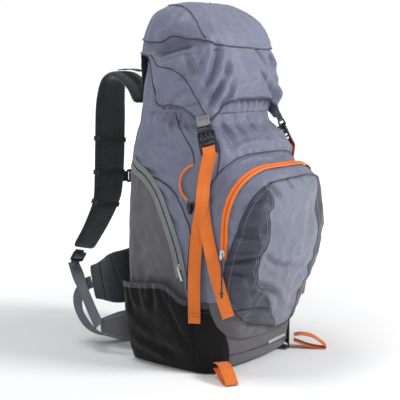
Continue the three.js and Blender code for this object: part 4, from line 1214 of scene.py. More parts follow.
RIGHT_SEAM = [(-1, 0.66), (-0.55, 0.64), (-0.2, 0.608), (0.33, 0.574), (0.825, 0.67), (1, 0.70)]


def spread(knots, at):
    """Smooth curve of one value against another through the knots (Catmull-Rom)."""
    return row_at(np.array(knots, float), at)[..., 0]


def piping_reach(angle):
    """The piping's reach from the pocket's middle, from its table by angle."""
    degrees = np.degrees(np.arctan2(np.sin(angle), np.cos(angle)))
    return spread(PIPING_KNOTS, degrees)


def pocket_relief(x, z, reach):
    """Stuffing, placed folds and small creases on the pocket, in millimetres, fading to its edge."""
    small = crumple(x, z, 64.0, 21) * 1.1 + crumple(x, z, 26.0, 23) * 0.2
    plump = 3.0 * np.cos(np.clip(x / 131, -1, 1) * math.pi / 2) * np.sin(math.pi * np.clip((z - 54) / 310, 0, 1))
    return (creases(x, z, POCKET_FOLDS) + small * sizes().crumple / MM + plump) * (1 - 0.75
            * smooth(reach, 0.9, 1.0))


def pocket_skin(u, v, lift=0.0):
    """The pocket with its folds: the plain form moved along its outward direction."""
    p = pocket_point(u, v)
    reach = np.maximum(np.abs(u), np.abs(v))
    step = 0.012
    a, b = np.clip(u, -0.975, 0.975), np.clip(v, -0.975, 0.975)
    out = normals(pocket_point, a, b, step, step)
    return p + out * (pocket_relief(p[..., 0], p[..., 2], reach) + lift)[..., None]


def face_point(p, q, lift=0.0):
    """The pocket's face inside the piping: the square -1..1 shrunk to the piping's reach."""
    scale = piping_reach(np.arctan2(q, p))
    return pocket_skin(p * scale, q * scale, lift)


def gusset_point(angle, f, lift=0.0):
    """The strip from the piping (f = 0) to the pocket's sewn edge (f = 1)."""
    reach = mix(piping_reach(angle), 0.999, f)
    c, s = np.cos(angle), np.sin(angle)
    k = reach / np.maximum(np.abs(c), np.abs(s))
    return pocket_skin(c * k, s * k, lift)


def zip_line(angle, lift=0.0):
    """The arched zip's line on the gusset, with the cloth's outward direction there."""
    c, s = np.cos(angle), np.sin(angle)
    k = 1 / np.maximum(np.abs(c), np.abs(s))

    def at(reach, turn=0.0):
        return round_pocket(angle + turn, reach)

    base = pocket_point(c * k * ZIP_REACH, s * k * ZIP_REACH)
    outwards = at(ZIP_REACH + 0.01) - at(ZIP_REACH - 0.01)
    along = at(ZIP_REACH, 0.02) - at(ZIP_REACH, -0.02)
    out = unit(np.cross(outwards, along))
    return base + out * lift, out


class PACK_OT_front_pocket(bpy.types.Operator):
    """The stuffed front pocket: dark side panels, ripstop face, gusset, piping and seams"""

    bl_idname = "pack.front_pocket"
    bl_label = "Front pocket"

    def execute(self, context):
        thick = sizes().cloth / MM
        ripstop = nylon("Ripstop nylon", colours().ripstop, ripstop=5.2, rough=0.44)
        q = np.linspace(-1, 1, 190)[None]
        left, right = spread(LEFT_SEAM, q), spread(RIGHT_SEAM, q)
        g = np.linspace(0, 1, 90)[:, None]
        for name, first, last, finish, slot in (("pocket_left_panel", -1, left, dark_nylon(), "body_fabric"),
                                                ("pocket_face", left, right, ripstop, "ripstop_fabric"),
                                                ("pocket_right_panel", right, 1, dark_nylon(), "body_fabric")):
            p = mix(first, last, g)
            made = make(name, [part(face_point(p, np.broadcast_to(q, p.shape)))], finish, "pack", "front_pocket",
                        closed=False, thick=thick)
        angle = np.linspace(-math.pi, math.pi, 361)[:, None]
        f = np.linspace(-0.02, 1, 26)[None]
        upper = np.radians(np.linspace(-30, 207, 240))[:, None]
        make("pocket_gusset", [part(gusset_point(upper, f)[::-1])], body_nylon(),
             closed=False, thick=thick)
        lower = np.radians(np.linspace(-153, -30, 130))[:, None]
        make("pocket_foot", [part(gusset_point(lower, f)[::-1])], charcoal_cloth(),
             closed=False, thick=thick)
        self.apron()
        self.trims(angle[:, 0])
        return {"FINISHED"}

    def apron(self):
        """The gathered strip that carries the gusset on to the body above the zip: a straight line
        from the sewn edge to the body's wall, hollowed by a half sine and rippled along its length."""
        angle = np.linspace(math.radians(166), math.radians(14), 220)[:, None]
        f = np.linspace(0, 1, 16)[None]
        c, s = np.cos(angle), np.sin(angle)
        k = 0.985 / np.maximum(np.abs(c), np.abs(s))
        low = pocket_point(c * k, s * k)
        far = mix(1.0, 1.10, smooth(s, 0.15, 0.7))
        x = low[..., 0] * (1 + 0.02 * smooth(s, 0.1, 0.6))
        z = POCKET_MIDDLE + (low[..., 2] - POCKET_MIDDLE) * far + 2
        high = points(x, body_front(x, z) - 0.8, z)
        grid = mix(low, high, f[..., None])
        a = np.degrees(angle) * 2.6
        ripple = creases(a, f * 22, [(390, 4, 300, 12, 3, 2.2, 3), (330, 16, 210, 10, 3, 2.4, -3),
                                                     (250, 5, 160, 13, 3, 2.0, 3), (180, 15, 90, 8, 3, 1.8, 0)])
        ripple = ripple + crumple(a, f * 22, 22.0, 31) * 1.2
        hollow = -3.2 * np.sin(math.pi * f) + ripple * np.sin(math.pi * f)
        out = np.array([0, -0.75, 0.66])
        make("pocket_apron", [part(grid + out * hollow[..., None])], body_nylon(),
             closed=False, thick=1.0)
        edge = high[:, -1] + [0, -3.2, 0.6]
        make("apron_welt", [tube(edge, 0.9)], piping_cloth())

    def trims(self, angle):
        """Piping round the face and along both panel seams, with rows of stitches inside them."""
        path = gusset_point(angle, 0.0, 1.0)
        closed_path = np.concatenate([path, path[:1]])
        welts = [tube(closed_path, 1.5)]
        q = np.linspace(-0.985, 0.985, 160)
        stitches = []
        for knots, step in ((LEFT_SEAM, -0.018), (RIGHT_SEAM, 0.018)):
            seam = spread(knots, q)
            welts.append(tube(face_point(seam, q, 0.15), 0.75))
            for offset in (step, step * 2.4):
                line = face_point(np.clip(seam + offset, -1, 1), q, 0.25)
                stitches.append(stitching(line, [0, -1.0, 0.05], 0.1))
        inner = face_point(*(np.array([np.cos(angle), np.sin(angle)]) * 0.972
                             / np.maximum(np.abs(np.cos(angle)), np.abs(np.sin(angle)))), 0.25)
        stitches.append(stitching(inner, [0, -1.0, 0.0], 0.1))
        make("pocket_piping", welts, piping_cloth())
        make("pocket_stitching", stitches, thread())


class PACK_OT_front_zip(bpy.types.Operator):
    """The arched orange zip: two tape edges, the coil between them, and its slider"""

    bl_idname = "pack.front_zip"
    bl_label = "Front zip"

    def execute(self, context):
        angle = np.linspace(ZIP_START, ZIP_END, 260)
        path, out = zip_line(angle, 2.4)
        tangent = unit(np.gradient(path, axis=0))
        across = np.cross(out, tangent)
        orange = webbing("Orange zip tape", colours().orange_zip, 6.0, 1.2, 0.15)
        dark = webbing("Zip coil", tuple(c * 0.55 for c in colours().orange_zip), 3.0, 1.0, 0.1)
        strips = []
        for way in (-1, 1):
            edge = path + across * 3.5 * way
            profile = np.array([[3.1, 0], [2.9, 0.6], [1.4, 1.2], [0, 1.45], [-1.6, 1.3], [-2.9, 0.5],
                                [-3.1, -0.5], [0, -0.7],
                                [3.1, -0.6]])[::-1]
            strips.append(part(sweep(edge, across, profile), around=True, caps=True))
        make("front_zip_tape", strips, orange, "pack", "front_zip")
        fine = np.linspace(ZIP_START, ZIP_END, 1500)
        line, _ = zip_line(fine, 2.5)
        far = distance(line)
        make("front_zip_coil", [tube(line, 1.05 + 0.3 * np.sin(far * 2 * math.pi / 2.2), 6)], dark)
        low, high = (np.array(c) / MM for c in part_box("front_zip_slider"))
        middle = (low + high) / 2
        along = np.array([0.0106, -0.0462, 0.9989])
        outward = unit(out[3] - along * (out[3] @ along))
        slider = zip_pull(middle, np.array([np.cross(along, outward), along, outward]), 9.0, 12.5, 6.4)
        tag = curve([middle + along * -2 + outward * 3.2, middle + along * -7 + outward * 3.0,
                     middle + along * -10.5 + outward * 1.2], 10)
        slider.append(ribbon(tag, np.cross(along, outward), 4.6, 1.5))
        make("front_zip_runner", slider, zinc(), "front_zip_pull", "front_zip_slider")
        return {"FINISHED"}


def zip_pull(middle, axes, wide, long, high):
    """A cast slider: a waisted body under a bridge, on its own axes (across, along, outwards)."""
    side, along, out = axes
    body = pillow(middle - out * high * 0.22, (wide, long, high * 0.42), axes, 0.55)
    nose = pillow(middle - out * high * 0.1 + along * long * 0.27, (wide * 0.96, long * 0.42, high * 0.4), axes,
                  0.7)
    arch = curve([middle - along * long * 0.3 - out * high * 0.1,
                  middle - along * long * 0.24 + out * high * 0.42,
                  middle + along * long * 0.2 + out * high * 0.42,
                  middle + along * long * 0.3 - out * high * 0.1], 16)
    return [body, nose, ribbon(arch, side, wide * 0.42, 1.3)]


# ---------------------------------------------------------------- sides
POCKET_HEM = np.array([[1.5, 148], [2.1, 151], [2.45, 156], [2.66, 158], [2.82, 148], [2.95, 135], [3.12, 130],
                       [3.52, 126],
                       [3.9, 120]], float)


def side_pocket(u, v):
    """The stretch pocket's plain form: the body's outline pushed out, most at its middle, then lying
    flat over the boot as far as the front corner."""
    turn = mix(mix(1.5, 1.6, v), mix(3.80, 3.50, smooth(v, 0.3, 1.0)), u)
    z = mix(3.0, row_at(POCKET_HEM, turn)[..., 0], v)
    row = row_at(BODY, np.maximum(z, BASE_TOP))
    x, y = outline(turn, row)
    x2, y2 = outline(turn + 0.01, row)
    base, ahead = points(x, y, z), points(x2, y2, z)
    out = unit(np.cross(ahead - base, [0, 0, 1.0]))
    w = np.clip((turn - 1.5) / 1.6, 0, 1)
    across = np.maximum(1 - np.abs(2 * w**0.8 - 1) ** 3, 0) ** 0.6
    return base, out, mix(0.4, 3.4, smooth(turn, 2.6, 3.2)) + 18 * across * np.sqrt(smooth(v, -0.02, 0.45))


def mesh_pocket(u, v, lift=0.0):
    """The plain form moved out by its bulge, folds, sine gathers below the hem and small creases."""
    base, out, bulge = side_pocket(u, v)
    a, b = u * 215, v * 155
    folds = creases(a, b, [(30, 150, 44, 96, 6, -2.6, 3), (62, 152, 70, 108, 5, -2.2, -2),
                           (96, 152, 88, 100, 6, -2.6, 3),
                           (20, 120, 92, 62, 11, -2.6, 8), (50, 60, 128, 30, 9, -2.2, -6),
                           (118, 130, 140, 60, 6, -1.8, 0),
                           (30, 40, 110, 14, 7, 1.6, 3)])
    gathers = np.sin(a / 2.3 + np.sin(a / 11)) * 0.8 * smooth(v, 0.55, 1.0)
    small = crumple(a, b, 34.0, 41) * 1.1
    fade = np.sqrt(np.clip(4 * u * (1 - u), 0, 1)) * smooth(v, -0.05, 0.2) * (1 - 0.85 * smooth(u, 0.58, 0.72))
    return base + out * (bulge + (folds + gathers + small) * fade + lift)[..., None]


class PACK_OT_side_pockets(bpy.types.Operator):
    """Stretch mesh side pockets with gathers under an elastic hem"""

    bl_idname = "pack.side_pockets"
    bl_label = "Side pockets"

    def execute(self, context):
        stretch = knit("Stretch mesh", colours().knit)
        elastic = webbing("Elastic hem", tuple(c * 0.5 for c in colours().charcoal), 12.0, 1.4)
        u, v = np.linspace(0.001, 0.999, 170)[:, None], np.linspace(0.004, 0.995, 110)[None]
        for side, sign in BOTH:
            cloth = mesh_pocket(u, v)
            made = make(f"mesh_pocket_{side}", [part(side_grid(cloth, sign))], stretch, "pack",
                        f"side_pocket_{side}",
                        closed=False, thick=1.0)
            s = np.linspace(0.004, 0.996, 150)
            hem_low, hem_high = mesh_pocket(s, 0.945, 0.6), mesh_pocket(s, 0.998, 0.5)
            turn = np.array([sign, 1.0, 1.0])
            hem = make(f"pocket_hem_{side}",
                       [ribbon((hem_low + hem_high) / 2 * turn, (hem_high - hem_low) * turn, 9.5, 1.5)],
                       elastic)
        return {"FINISHED"}


class PACK_OT_side_zips(bpy.types.Operator):
    """Bowed side zips: two tapes, the coil and its slider with a flat puller"""

    bl_idname = "pack.side_zips"
    bl_label = "Side zips"

    def execute(self, context):
        tape = webbing("Side zip tape", colours().tape, 10.0, 1.3, 0.15)
        coil = moulded("Side zip coil", colours().plastic)
        f = np.linspace(0.0, 1.0, 150)
        place = curve([(t * 60, h, 0) for h, t in SIDE_ZIP[:0:-1]], 150)
        turn, z = place[:, 0] / 60, place[:, 1]
        for side, sign in BOTH:
            mirror = np.array([sign, 1.0, 1.0])
            soft = np.convolve(np.pad(body_relief(turn, z), 12, mode="edge"), np.ones(25) / 25, "valid")
            path = over_body(turn, z, soft + 2.2)
            out = normals(body_point, turn, z)
            tangent = unit(np.gradient(path, axis=0))
            across = np.cross(out, tangent)
            strips = [ribbon((path + across * 6.1 * way) * mirror, across * mirror, 9.4, 1.5) for way in (-1, 1)]
            make(f"side_zip_tape_{side}", strips, tape, "pack", f"side_zip_{side}")
            far = np.linspace(0, 1, 420)
            line = np.stack([np.interp(far, f, (path + out * 0.1)[:, k]) for k in range(3)], -1)
            make(f"side_zip_coil_{side}", [tube(line * mirror, 1.5 + 0.35 * np.sin(far * 420), 6)], coil)
            run = np.array([-0.0029, 0.3590, 0.9333])
            outward = unit(np.array([-1.0, 0, 0]) - run * 0.0029)
            middle = np.array([-147.44, -46.14, 189.92])
            axes = np.array([np.cross(run, outward), run, outward]) * mirror
            pieces = zip_pull(middle * mirror, axes, 8.0, 11.0, 5.0)
            puller = curve([middle - run * 2 + outward * 2.9, middle - run * 12 + outward * 2.6,
                            middle - run * 25 + outward * 2.2], 14) * mirror
            pieces.append(ribbon(puller, axes[0], np.linspace(3.4, 5.0, 14), 1.5))
            make(f"side_zip_runner_{side}", pieces, zinc(), f"side_zip_pull_{side}", f"side_zip_slider_{side}")
        return {"FINISHED"}


# ---------------------------------------------------------------- lid
# Folds on the lid: girth and height of start and end, half width, height of the fold and its bow.
LID_FOLDS = [(-112, 500, -84, 574, 8, -8.0, -4), (-104, 478, -62, 545, 7, -8.6, -3),
             (-88, 466, -52, 512, 7, -7.6, -3),
             (-100, 464, -74, 520, 4, 4.0, -3), (-216, 560, -150, 578, 13, -13.0, 4),
             (-206, 548, -140, 566, 4, 4.5, 3),
             (-150, 556, -128, 520, 5, -4.6, 2), (12, 572, 76, 504, 4, -4.0, 3), (24, 528, 70, 476, 4, -4.6, 2),
             (-122, 520, -100, 572, 6, -3.4, 4), (-208, 470, -204, 500, 3.5, -3.4, 0),
             (-200, 468, -196, 492, 3.5, -3.0, 0),
             (-216, 472, -216, 498, 3.5, -2.6, 0), (-180, 474, -140, 500, 6, -3.0, 5),
             (-172, 520, -140, 546, 6, 2.2, 2),
             (-230, 500, -236, 540, 6, -2.8, 0), (-40, 486, 20, 494, 5, -2.4, 3), (60, 560, 90, 520, 4, -2.6, 0),
             (-20, 500, 16, 520, 5, 2.2, 0), (-150, 468, -118, 478, 5, -2.4, 2)]
FLAP_LINE = [(0, 1.20), (1.5, 1.19), (2.27, 1.16), (2.52, 1.235), (2.85, 1.233), (3.39, 1.213), (3.83, 1.167),
             (4.45, 1.124), (4.95, 1.10), (5.6, 1.13), (6.4, 1.18), (7.4, 1.18), (8, 1.20)]
CROWN_SEAM = [(1.72, 1.78), (2.05, 1.80), (2.317, 1.775), (2.7, 1.65), (2.962, 1.499), (3.2, 1.36),
              (3.388, 1.225)]
LID_SIDE_SEAM = [(2.1, 0.76), (2.288, 0.735), (2.703, 0.644), (3.065, 0.409), (3.30, 0.22), (3.445, 0.06)]


def flap_line(turn):
    """Where the crown's flap ends on the lid, from its table by place."""
    return spread(FLAP_LINE, np.mod(turn, 8))


def lid_relief(turn, f):
    """Stuffing, folds that run from the buckle corners up over the front, and the scooped fold
    under the flap on the sides, in millimetres."""
    p = lid_point(turn, f)
    a, z = girth(turn, row=LID_ROW), p[..., 2]
    line = flap_line(turn)
    under = smooth(f, line - 0.34, line - 0.05) * (1 - smooth(f, line - 0.02, line))
    wide = smooth(np.abs(np.abs(turn - FRONT_MIDDLE) - 1.75), 0.75, 0.15)
    scoop = -6.5 * under * wide - 0.8 * under
    folds = creases(a, z, LID_FOLDS) + creases(-a, z - 4, [r for r in LID_FOLDS if r[0] < -60])
    small = crumple(a, z, 52.0, 61) * 1.2 + crumple(a, z, 24.0, 63) * 0.2
    plump = 3.2 * smooth(f, 0, 0.5) * smooth(f, 1.15, 0.5) + 2.0 * smooth(f, 1.25, 1.6)
    calm = smooth(f, 2.0, 1.75)
    rear = 1 - 0.8 * smooth(np.abs(turn - FRONT_MIDDLE), 2.9, 3.4)
    return (scoop + (folds + small * sizes().crumple / MM) * calm) * rear + plump


def lid_skin(turn, f, lift=0.0):
    """The lid's plain form moved along its normal by its relief and lift."""
    p = lid_point(turn, f)
    g = np.clip(f, 0.02, 1.97)
    return p + normals(lid_point, turn, g, 0.01, 0.02) * (lid_relief(turn, f) + lift)[..., None]


class PACK_OT_lid(bpy.types.Operator):
    """The hooded lid: skirt, crown with its overhanging flap, seams, gathered hem and lining"""

    bl_idname = "pack.lid"
    bl_label = "Lid"

    def execute(self, context):
        thick = sizes().cloth / MM
        turns = np.linspace(0, 8, 401)[:-1][:, None]
        line = flap_line(turns)
        f = line * np.linspace(0, 1, 110)[None]
        grid = lid_skin(turns, f)
        skirt = make("lid_skirt", [part(grid.transpose(1, 0, 2)[:, ::-1], around=True)], body_nylon(), "lid",
                     "lid",
                     closed=False, thick=thick)
        g = np.linspace(0, 1, 90)[None]
        over = mix(line - 0.035, 1.985, g)
        lip = (1.8 * (1 - smooth(g, 0.0, 0.06)) + 0.6) * (0.25 + 0.75
                * smooth(np.abs(turns - FRONT_MIDDLE), 0.55, 1.1)) + 0.3
        crown = lid_skin(turns, over, lip)
        grid = crown.transpose(1, 0, 2)[:, ::-1]
        make("lid_crown", [self.with_top(grid)], body_nylon(), "lid", closed=False,
             thick=thick)
        ring = np.linspace(0, 8, 401)
        lower = lid_skin(ring, flap_line(ring) - 0.035,
                         0.6 + 1.8 * smooth(np.abs(ring - FRONT_MIDDLE), 0.55, 1.1))
        welts = [tube(lower, 1.3)]
        stitches = []
        for side, sign in BOTH:
            for knots, lift in ((CROWN_SEAM, 1.4), (LID_SIDE_SEAM, 0.4)):
                at = curve([(mirror_turn(t, sign) * 60, h * 100, 0) for t, h in knots], 80)
                welts.append(tube(lid_skin(at[:, 0] / 60, at[:, 1] / 100, lift), 1.0))
                beside = lid_skin(at[:, 0] / 60, at[:, 1] / 100 + 0.03, lift + 0.1)
                stitches.append(stitching(beside, unit(beside - [0, 0, 500]), 0.1))
        make("lid_welts", welts, piping_cloth(), "lid")
        hem = lid_skin(ring, 0.012, 0.6)
        low_stitch = lid_skin(ring, 0.075, 0.3)
        make("lid_stitching", [*stitches, stitching(low_stitch, unit(low_stitch * [1, 1, 0]), 0.1)], thread(),
             "lid")
        make("lid_hem", [tube(hem, 1.7)], dark_nylon(), "lid")
        self.lining()
        self.hinge_flap()
        return {"FINISHED"}

    def with_top(self, grid):
        """Closes the crown's middle: rings shrink to a point while the height rises by a cosine."""
        ring = grid[-1]
        middle = ring.mean(0)
        k = np.linspace(1, 0.02, 18)[1:, None, None]
        disc = middle + (ring[None] - middle) * k
        a, b = disc[..., 0], disc[..., 1]
        disc[..., 2] += 2.6 * (1 - k[..., 0] ** 2) + crumple(a, b, 60.0, 71) * 1.2 * (1 - k[..., 0] ** 4)
        vertices, faces, uv = part(np.concatenate([grid, disc]), around=True)
        m = grid.shape[1]
        last = len(vertices) - m
        pole = len(vertices)
        vertices = np.vstack([vertices, vertices[last:].mean(0)])
        j = np.arange(m)
        faces += np.stack([np.full(m, pole), last + j, last + (j + 1) % m], -1).tolist()
        return vertices, faces, np.vstack([uv, np.broadcast_to(uv[-1], (3 * m, 2))])

    def hinge_flap(self):
        """Cloth that carries the back of the pack up to the lid's hinge line, softly puckered."""
        x, f = np.linspace(-86, 86, 120)[:, None], np.linspace(0, 1, 30)[None]
        z = mix(496.0, 557.0, f)
        y = mix(91.0, 93.4, f) + (crumple(x, z, 26.0, 75) + 0.5 * np.sin(x / 3.4)) * np.sin(math.pi * f)
        make("lid_hinge_flap", [part(points(x, y, z)[::-1])], dark_nylon(), closed=False,
             thick=1.0)

    def lining(self):
        """The rim's outline shrunk in rings to its middle, dished and softly creased."""
        turns = np.linspace(0, 8, 121)[:-1][:, None]
        k = np.linspace(1, 0.03, 24)[None]
        sides = smooth(np.abs(np.abs(turns - FRONT_MIDDLE) - 1.75), 0.9, 0.4)
        rim = lid_outline(turns, 565.0, 9.0 + 18.0 * sides)
        middle = rim.mean((0, 1))
        grid = middle + (rim - middle) * k[..., None]
        grid[..., 2] += crumple(grid[..., 0], grid[..., 1], 50.0, 73) * 1.4 * (1 - k**6) - 2.0 * (1 - k**2)
        make("lid_lining_cloth", [part(grid.transpose(1, 0, 2), around=True)], dark_nylon(), "lid",
             "lid_lining", closed=False, thick=0.6)


# ---------------------------------------------------------------- lid buckles and straps
def bearing_down(degrees, z, lift):
    """A point beside the pocket on a bearing from the pack's upright axis: the outermost radius
    that meets the body or pocket near that place, plus the lift."""
    reach = np.arange(240, 60, -0.5)
    best = 0.0
    for turn_by in (-0.09, -0.045, 0.0, 0.045, 0.09):
        for rise in (-12, 0, 12):
            angle, height = math.radians(degrees) + turn_by, np.full(len(reach), z + rise, float)
            x, y = reach * math.cos(angle), reach * math.sin(angle)
            inside = (np.abs(x) < row_at(BODY, height)[:, 0] + SIDE_BULGE) & (y > pocket_front(x, height) - 0.4)
            best = max(best, reach[np.argmax(inside)] * math.cos(turn_by))
    angle = math.radians(degrees)
    return [(best + lift) * math.cos(angle), (best + lift) * math.sin(angle), z]


def buckle_frame():
    """Middle and axes (across, up, outwards) of the left lid buckle, as the frame has them."""
    top = lid_outline(STRAP_TURN, 450.0, -2.0) + [-3, -2.2, 0]
    low = over_body(STRAP_TURN, 388.0, 8.0)
    up = unit(top - low)
    out = normals(body_point, np.float64(STRAP_TURN), np.float64(350.0))
    out = unit(out - up * (out @ up))
    return low + (top - low) * 0.42, np.cross(up, out), up, out


class PACK_OT_lid_buckles(bpy.types.Operator):
    """Lid tabs, side-release buckles and their sewn ends"""

    bl_idname = "pack.lid_buckles"
    bl_label = "Lid buckles"

    def execute(self, context):
        middle, side, up, out = buckle_frame()
        for name, sign in BOTH:
            mirror = np.array([sign, 1.0, 1.0])
            axes = np.array([side, up, out]) * mirror

            def at(a, b, c):
                return (middle + side * a + up * b + out * c) * mirror

            def bar(a0, b0, a1, b1, c, thick, power=0.35):
                size = (abs(a1 - a0), abs(b1 - b0), thick)
                return pillow(at((a0 + a1) / 2, (b0 + b1) / 2, c), size, axes, power)

            female = [bar(-16, 12, -12.2, -27.5, -0.6, 4.6), bar(12.2, 12, 16, -27.5, -0.6, 4.6),
                      bar(-15.5, 13, 15.5, 3.5, -1.6, 3.2),
                      bar(-15, -5.6, 15, -1.6, 0.2, 5.4), bar(-15.4, -12.8, 15.4, -9.2, -0.6, 4.4),
                      bar(-15, -24.2, 15, -19.6, -0.8, 4.0),
                      bar(-14.5, -28.4, 14.5, -25.6, -0.8, 3.8)]
            make(f"lid_buckle_socket_{name}", female, black_plastic(), "pack", f"lid_buckle_female_{name}")
            male = [bar(-13, 22, 13, 19.2, 3.2, 3.6), bar(-13, 15.4, 13, 9.6, 3.3, 4.0),
                    bar(-13, 20, -10.2, 11, 3.2, 3.6),
                    bar(10.2, 20, 13, 11, 3.2, 3.6), bar(-9.4, 11, -5.4, -7, 3.4, 3.0, 0.5),
                    bar(5.4, 11, 9.4, -7, 3.4, 3.0, 0.5),
                    bar(-2.2, 11, 2.2, -4, 3.4, 2.8, 0.5)]
            make(f"lid_buckle_prong_{name}", male, black_plastic(), "lid", f"lid_buckle_male_{name}")
            path = curve([middle + up * 22.2 + out * 3.3, middle + up * 27 + out * 3.8,
                          middle + up * 33 + out * 3.6,
                          middle + up * 40 + out * 2.9], 16) * mirror
            tab = webbing("Lid tab webbing", colours().tab, 22.0, 1.5)
            make(f"lid_tab_{name}_webbing", [ribbon(path, axes[0], 22, 2.2)], tab, "lid", f"lid_tab_{name}")
            lines = [np.linspace(0, 1, 12)[:, None] * axes[0] * 17 - axes[0] * 8.5 + path[k] + axes[2] * 1.0
                     for k in (9, 12)]
            make(f"lid_tab_{name}_stitching", [stitching(line, axes[2], 0.4, 2.6)
                                               for line in lines], dark_thread(), "lid")
        return {"FINISHED"}


class PACK_OT_lid_straps(bpy.types.Operator):
    """Orange lid straps: sewn run, turn round the ladder bar, and the free tail with a folded end"""

    bl_idname = "pack.lid_straps"
    bl_label = "Lid straps"

    def execute(self, context):
        middle, side, up, out = buckle_frame()
        runs = [bearing_down(d, z, 2.6) for z,
                d in ((108, 228.5), (150, 224), (200, 220), (250, 216.5), (300, 214), (345, 214.5))]
        tail = [bearing_down(d, z, 8.2) for z,
                d in ((345, 214.5), (300, 213), (250, 210.5), (200, 209), (150, 208.5), (96, 208.5))]
        bars = [middle + up * b + out * c for b,
                c in ((-30, -4.2), (-20, -4.1), (-17.6, -3.4), (-16.4, -1), (-16.6, 1.6),
                                                       (-18.2, 3.5), (-30, 4.6))]
        rise = curve([*runs, bars[0]], 110)
        fall = curve([bars[6], *tail], 120)
        path = np.concatenate([rise, curve(bars, 22)[1:-1], fall])
        around = unit(np.stack([-path[:, 1], path[:, 0], 0 * path[:, 0]], -1))
        around *= np.sign(around @ side)[:, None]
        across = np.where((path[:, 2] > 370)[:, None], side, around)
        kernel = np.ones(9) / 9
        across = np.stack([np.convolve(np.pad(across[:, k], 4, mode="edge"), kernel, "valid") for k in range(3)],
                          -1)
        waver = np.concatenate([np.zeros(len(rise) + 20),
                                1.4 * np.sin(np.linspace(0, 7, len(fall))) * np.linspace(0, 1, len(fall))])
        for name, sign in BOTH:
            mirror = np.array([sign, 1.0, 1.0])
            n = len(path) - 1
            _, _, normal = frames(path, across)
            outward = normal * np.sign((normal * unit(path * [1, 1, 0])).sum(-1))[:, None]
            fold = path[n] + outward[n] * 2.0
            end = curve([path[n] + [0, 0, -1.5] + outward[n] * 1.0, fold + [0, 0, 2], fold + [0, 0, 16]], 12)
            main = path + outward * np.abs(waver)[:, None] * 0.6
            make(f"lid_strap_{name}_webbing", [ribbon(main * mirror, across * mirror, 21.5, 1.7),
                                               ribbon(end * mirror, across[n] * mirror, 21, 1.6)],
                 orange_webbing(), "pack", f"lid_strap_{name}")
            rows = []
            for base, normal_at, width_at, height in ((path[2], outward[2], across[2], 4.0),
                    (path[2], outward[2], across[2], 9.0),
                                                      (end[8], outward[n], across[n], 0.0)):
                line = base + [0, 0, height] + outward[2] * 1.0 + np.linspace(-8.5, 8.5, 14)[:, None] * width_at
                rows.append(stitching(line * mirror, normal_at * mirror, 0.5, 2.4))
            make(f"lid_strap_{name}_stitching", rows, dark_thread())
        return {"FINISHED"}


class PACK_OT_tool_loops(bpy.types.Operator):
    """Orange webbing loops at the foot of the pack for ice axes or poles"""

    bl_idname = "pack.tool_loops"
    bl_label = "Tool loops"

    def execute(self, context):
        axis = np.array([-116.0, -112.0, 19.0])
        outwards = unit(np.array([-0.55, -0.835, 0]))
        knots = [(1.5, 25), (16, 27.5), (36, 24), (54, 13), (62, 6.4), (63.5, 4.0), (61, 1.9), (50, 1.9),
                 (30, 5.5), (14, 11), (1.5, 15)]
        path = curve([axis * [1, 1, 0] + outwards * reach + [0, 0, z] for reach, z in knots], 90)
        across = np.array([-outwards[1], outwards[0], 0])
        for name, sign in BOTH:
            mirror = np.array([sign, 1.0, 1.0])
            make(f"tool_loop_{name}_webbing", [ribbon(path * mirror, across * mirror, 23, 1.7)], orange_webbing(),
                 f"tool_loop_{name}", f"tool_loop_{name}")
            rows = []
            for k in (4, 7):
                line = path[k] + [0, 0, 1.0] + np.linspace(-9, 9, 12)[:, None] * across
                rows.append(stitching(line * mirror, [0, 0, 1.0], 0.5, 2.4))
            make(f"tool_loop_{name}_stitching", rows, dark_thread(), f"tool_loop_{name}")
        return {"FINISHED"}


# ---------------------------------------------------------------- harness
def padded_strap(path, across, width, thick, pinches=(), count=30, power=0.62):
    """Foam under mesh: a superellipse carried along the path, thinner where it is stitched across
    and rounded off at its ends. Each pinch is a place along the path, 0..1."""
    f = np.linspace(0, 1, len(path))
    deep = np.ones(len(path))
    for at in pinches:
        deep = deep - 0.36 * np.exp(-(((f - at) / 0.014) ** 2))
    ends = np.clip(np.minimum(f, 1 - f) / 0.03, 0, 1)
    round_off = 0.35 + 0.65 * np.sqrt(1 - (1 - ends) ** 2)
    profile = rounded(1.0, 1.0, power, count)
    grid = sweep(path, across, profile, wide=np.broadcast_to(width, len(path)) * (0.8 + 0.2 * round_off),
                 deep=np.broadcast_to(thick, len(path)) * deep * round_off)
    around = np.concatenate([[0],
                             np.cumsum(np.linalg.norm(np.diff(np.vstack([profile, profile[:1]]), axis=0)
                                 * [60, 12], axis=1))])
    far = distance(path)
    uv = np.stack(np.broadcast_arrays(around[None], far[:, None]), -1)
    return part(grid, uv, around=True, caps=True)


def strap_edges(path, across, width, radius, inset=1.0):
    """Bias binding along both edges of a strap."""
    _, side, _ = frames(path, across)
    half = np.broadcast_to(np.asarray(width, float), len(path))[:, None] / 2 - inset
    return [tube(path[2:-2] + (side * half * way)[2:-2], radius) for way in (-1, 1)]


SHOULDER = [(-64, 102, 470), (-63, 118, 496), (-62, 142, 514), (-61, 166, 521), (-62, 184, 508), (-65, 189, 476),
            (-70, 187, 430), (-75, 184, 380), (-78, 184, 330), (-82, 187, 285), (-92, 205, 236), (-105, 229, 188)]
ADJUSTER = np.array([-110.5, 240.0, 171.0])
ADJUSTER_DOWN = unit(np.array([-13.0, 22, -48]))
PATCH_TIP = np.array([-138.0, 153, 51])


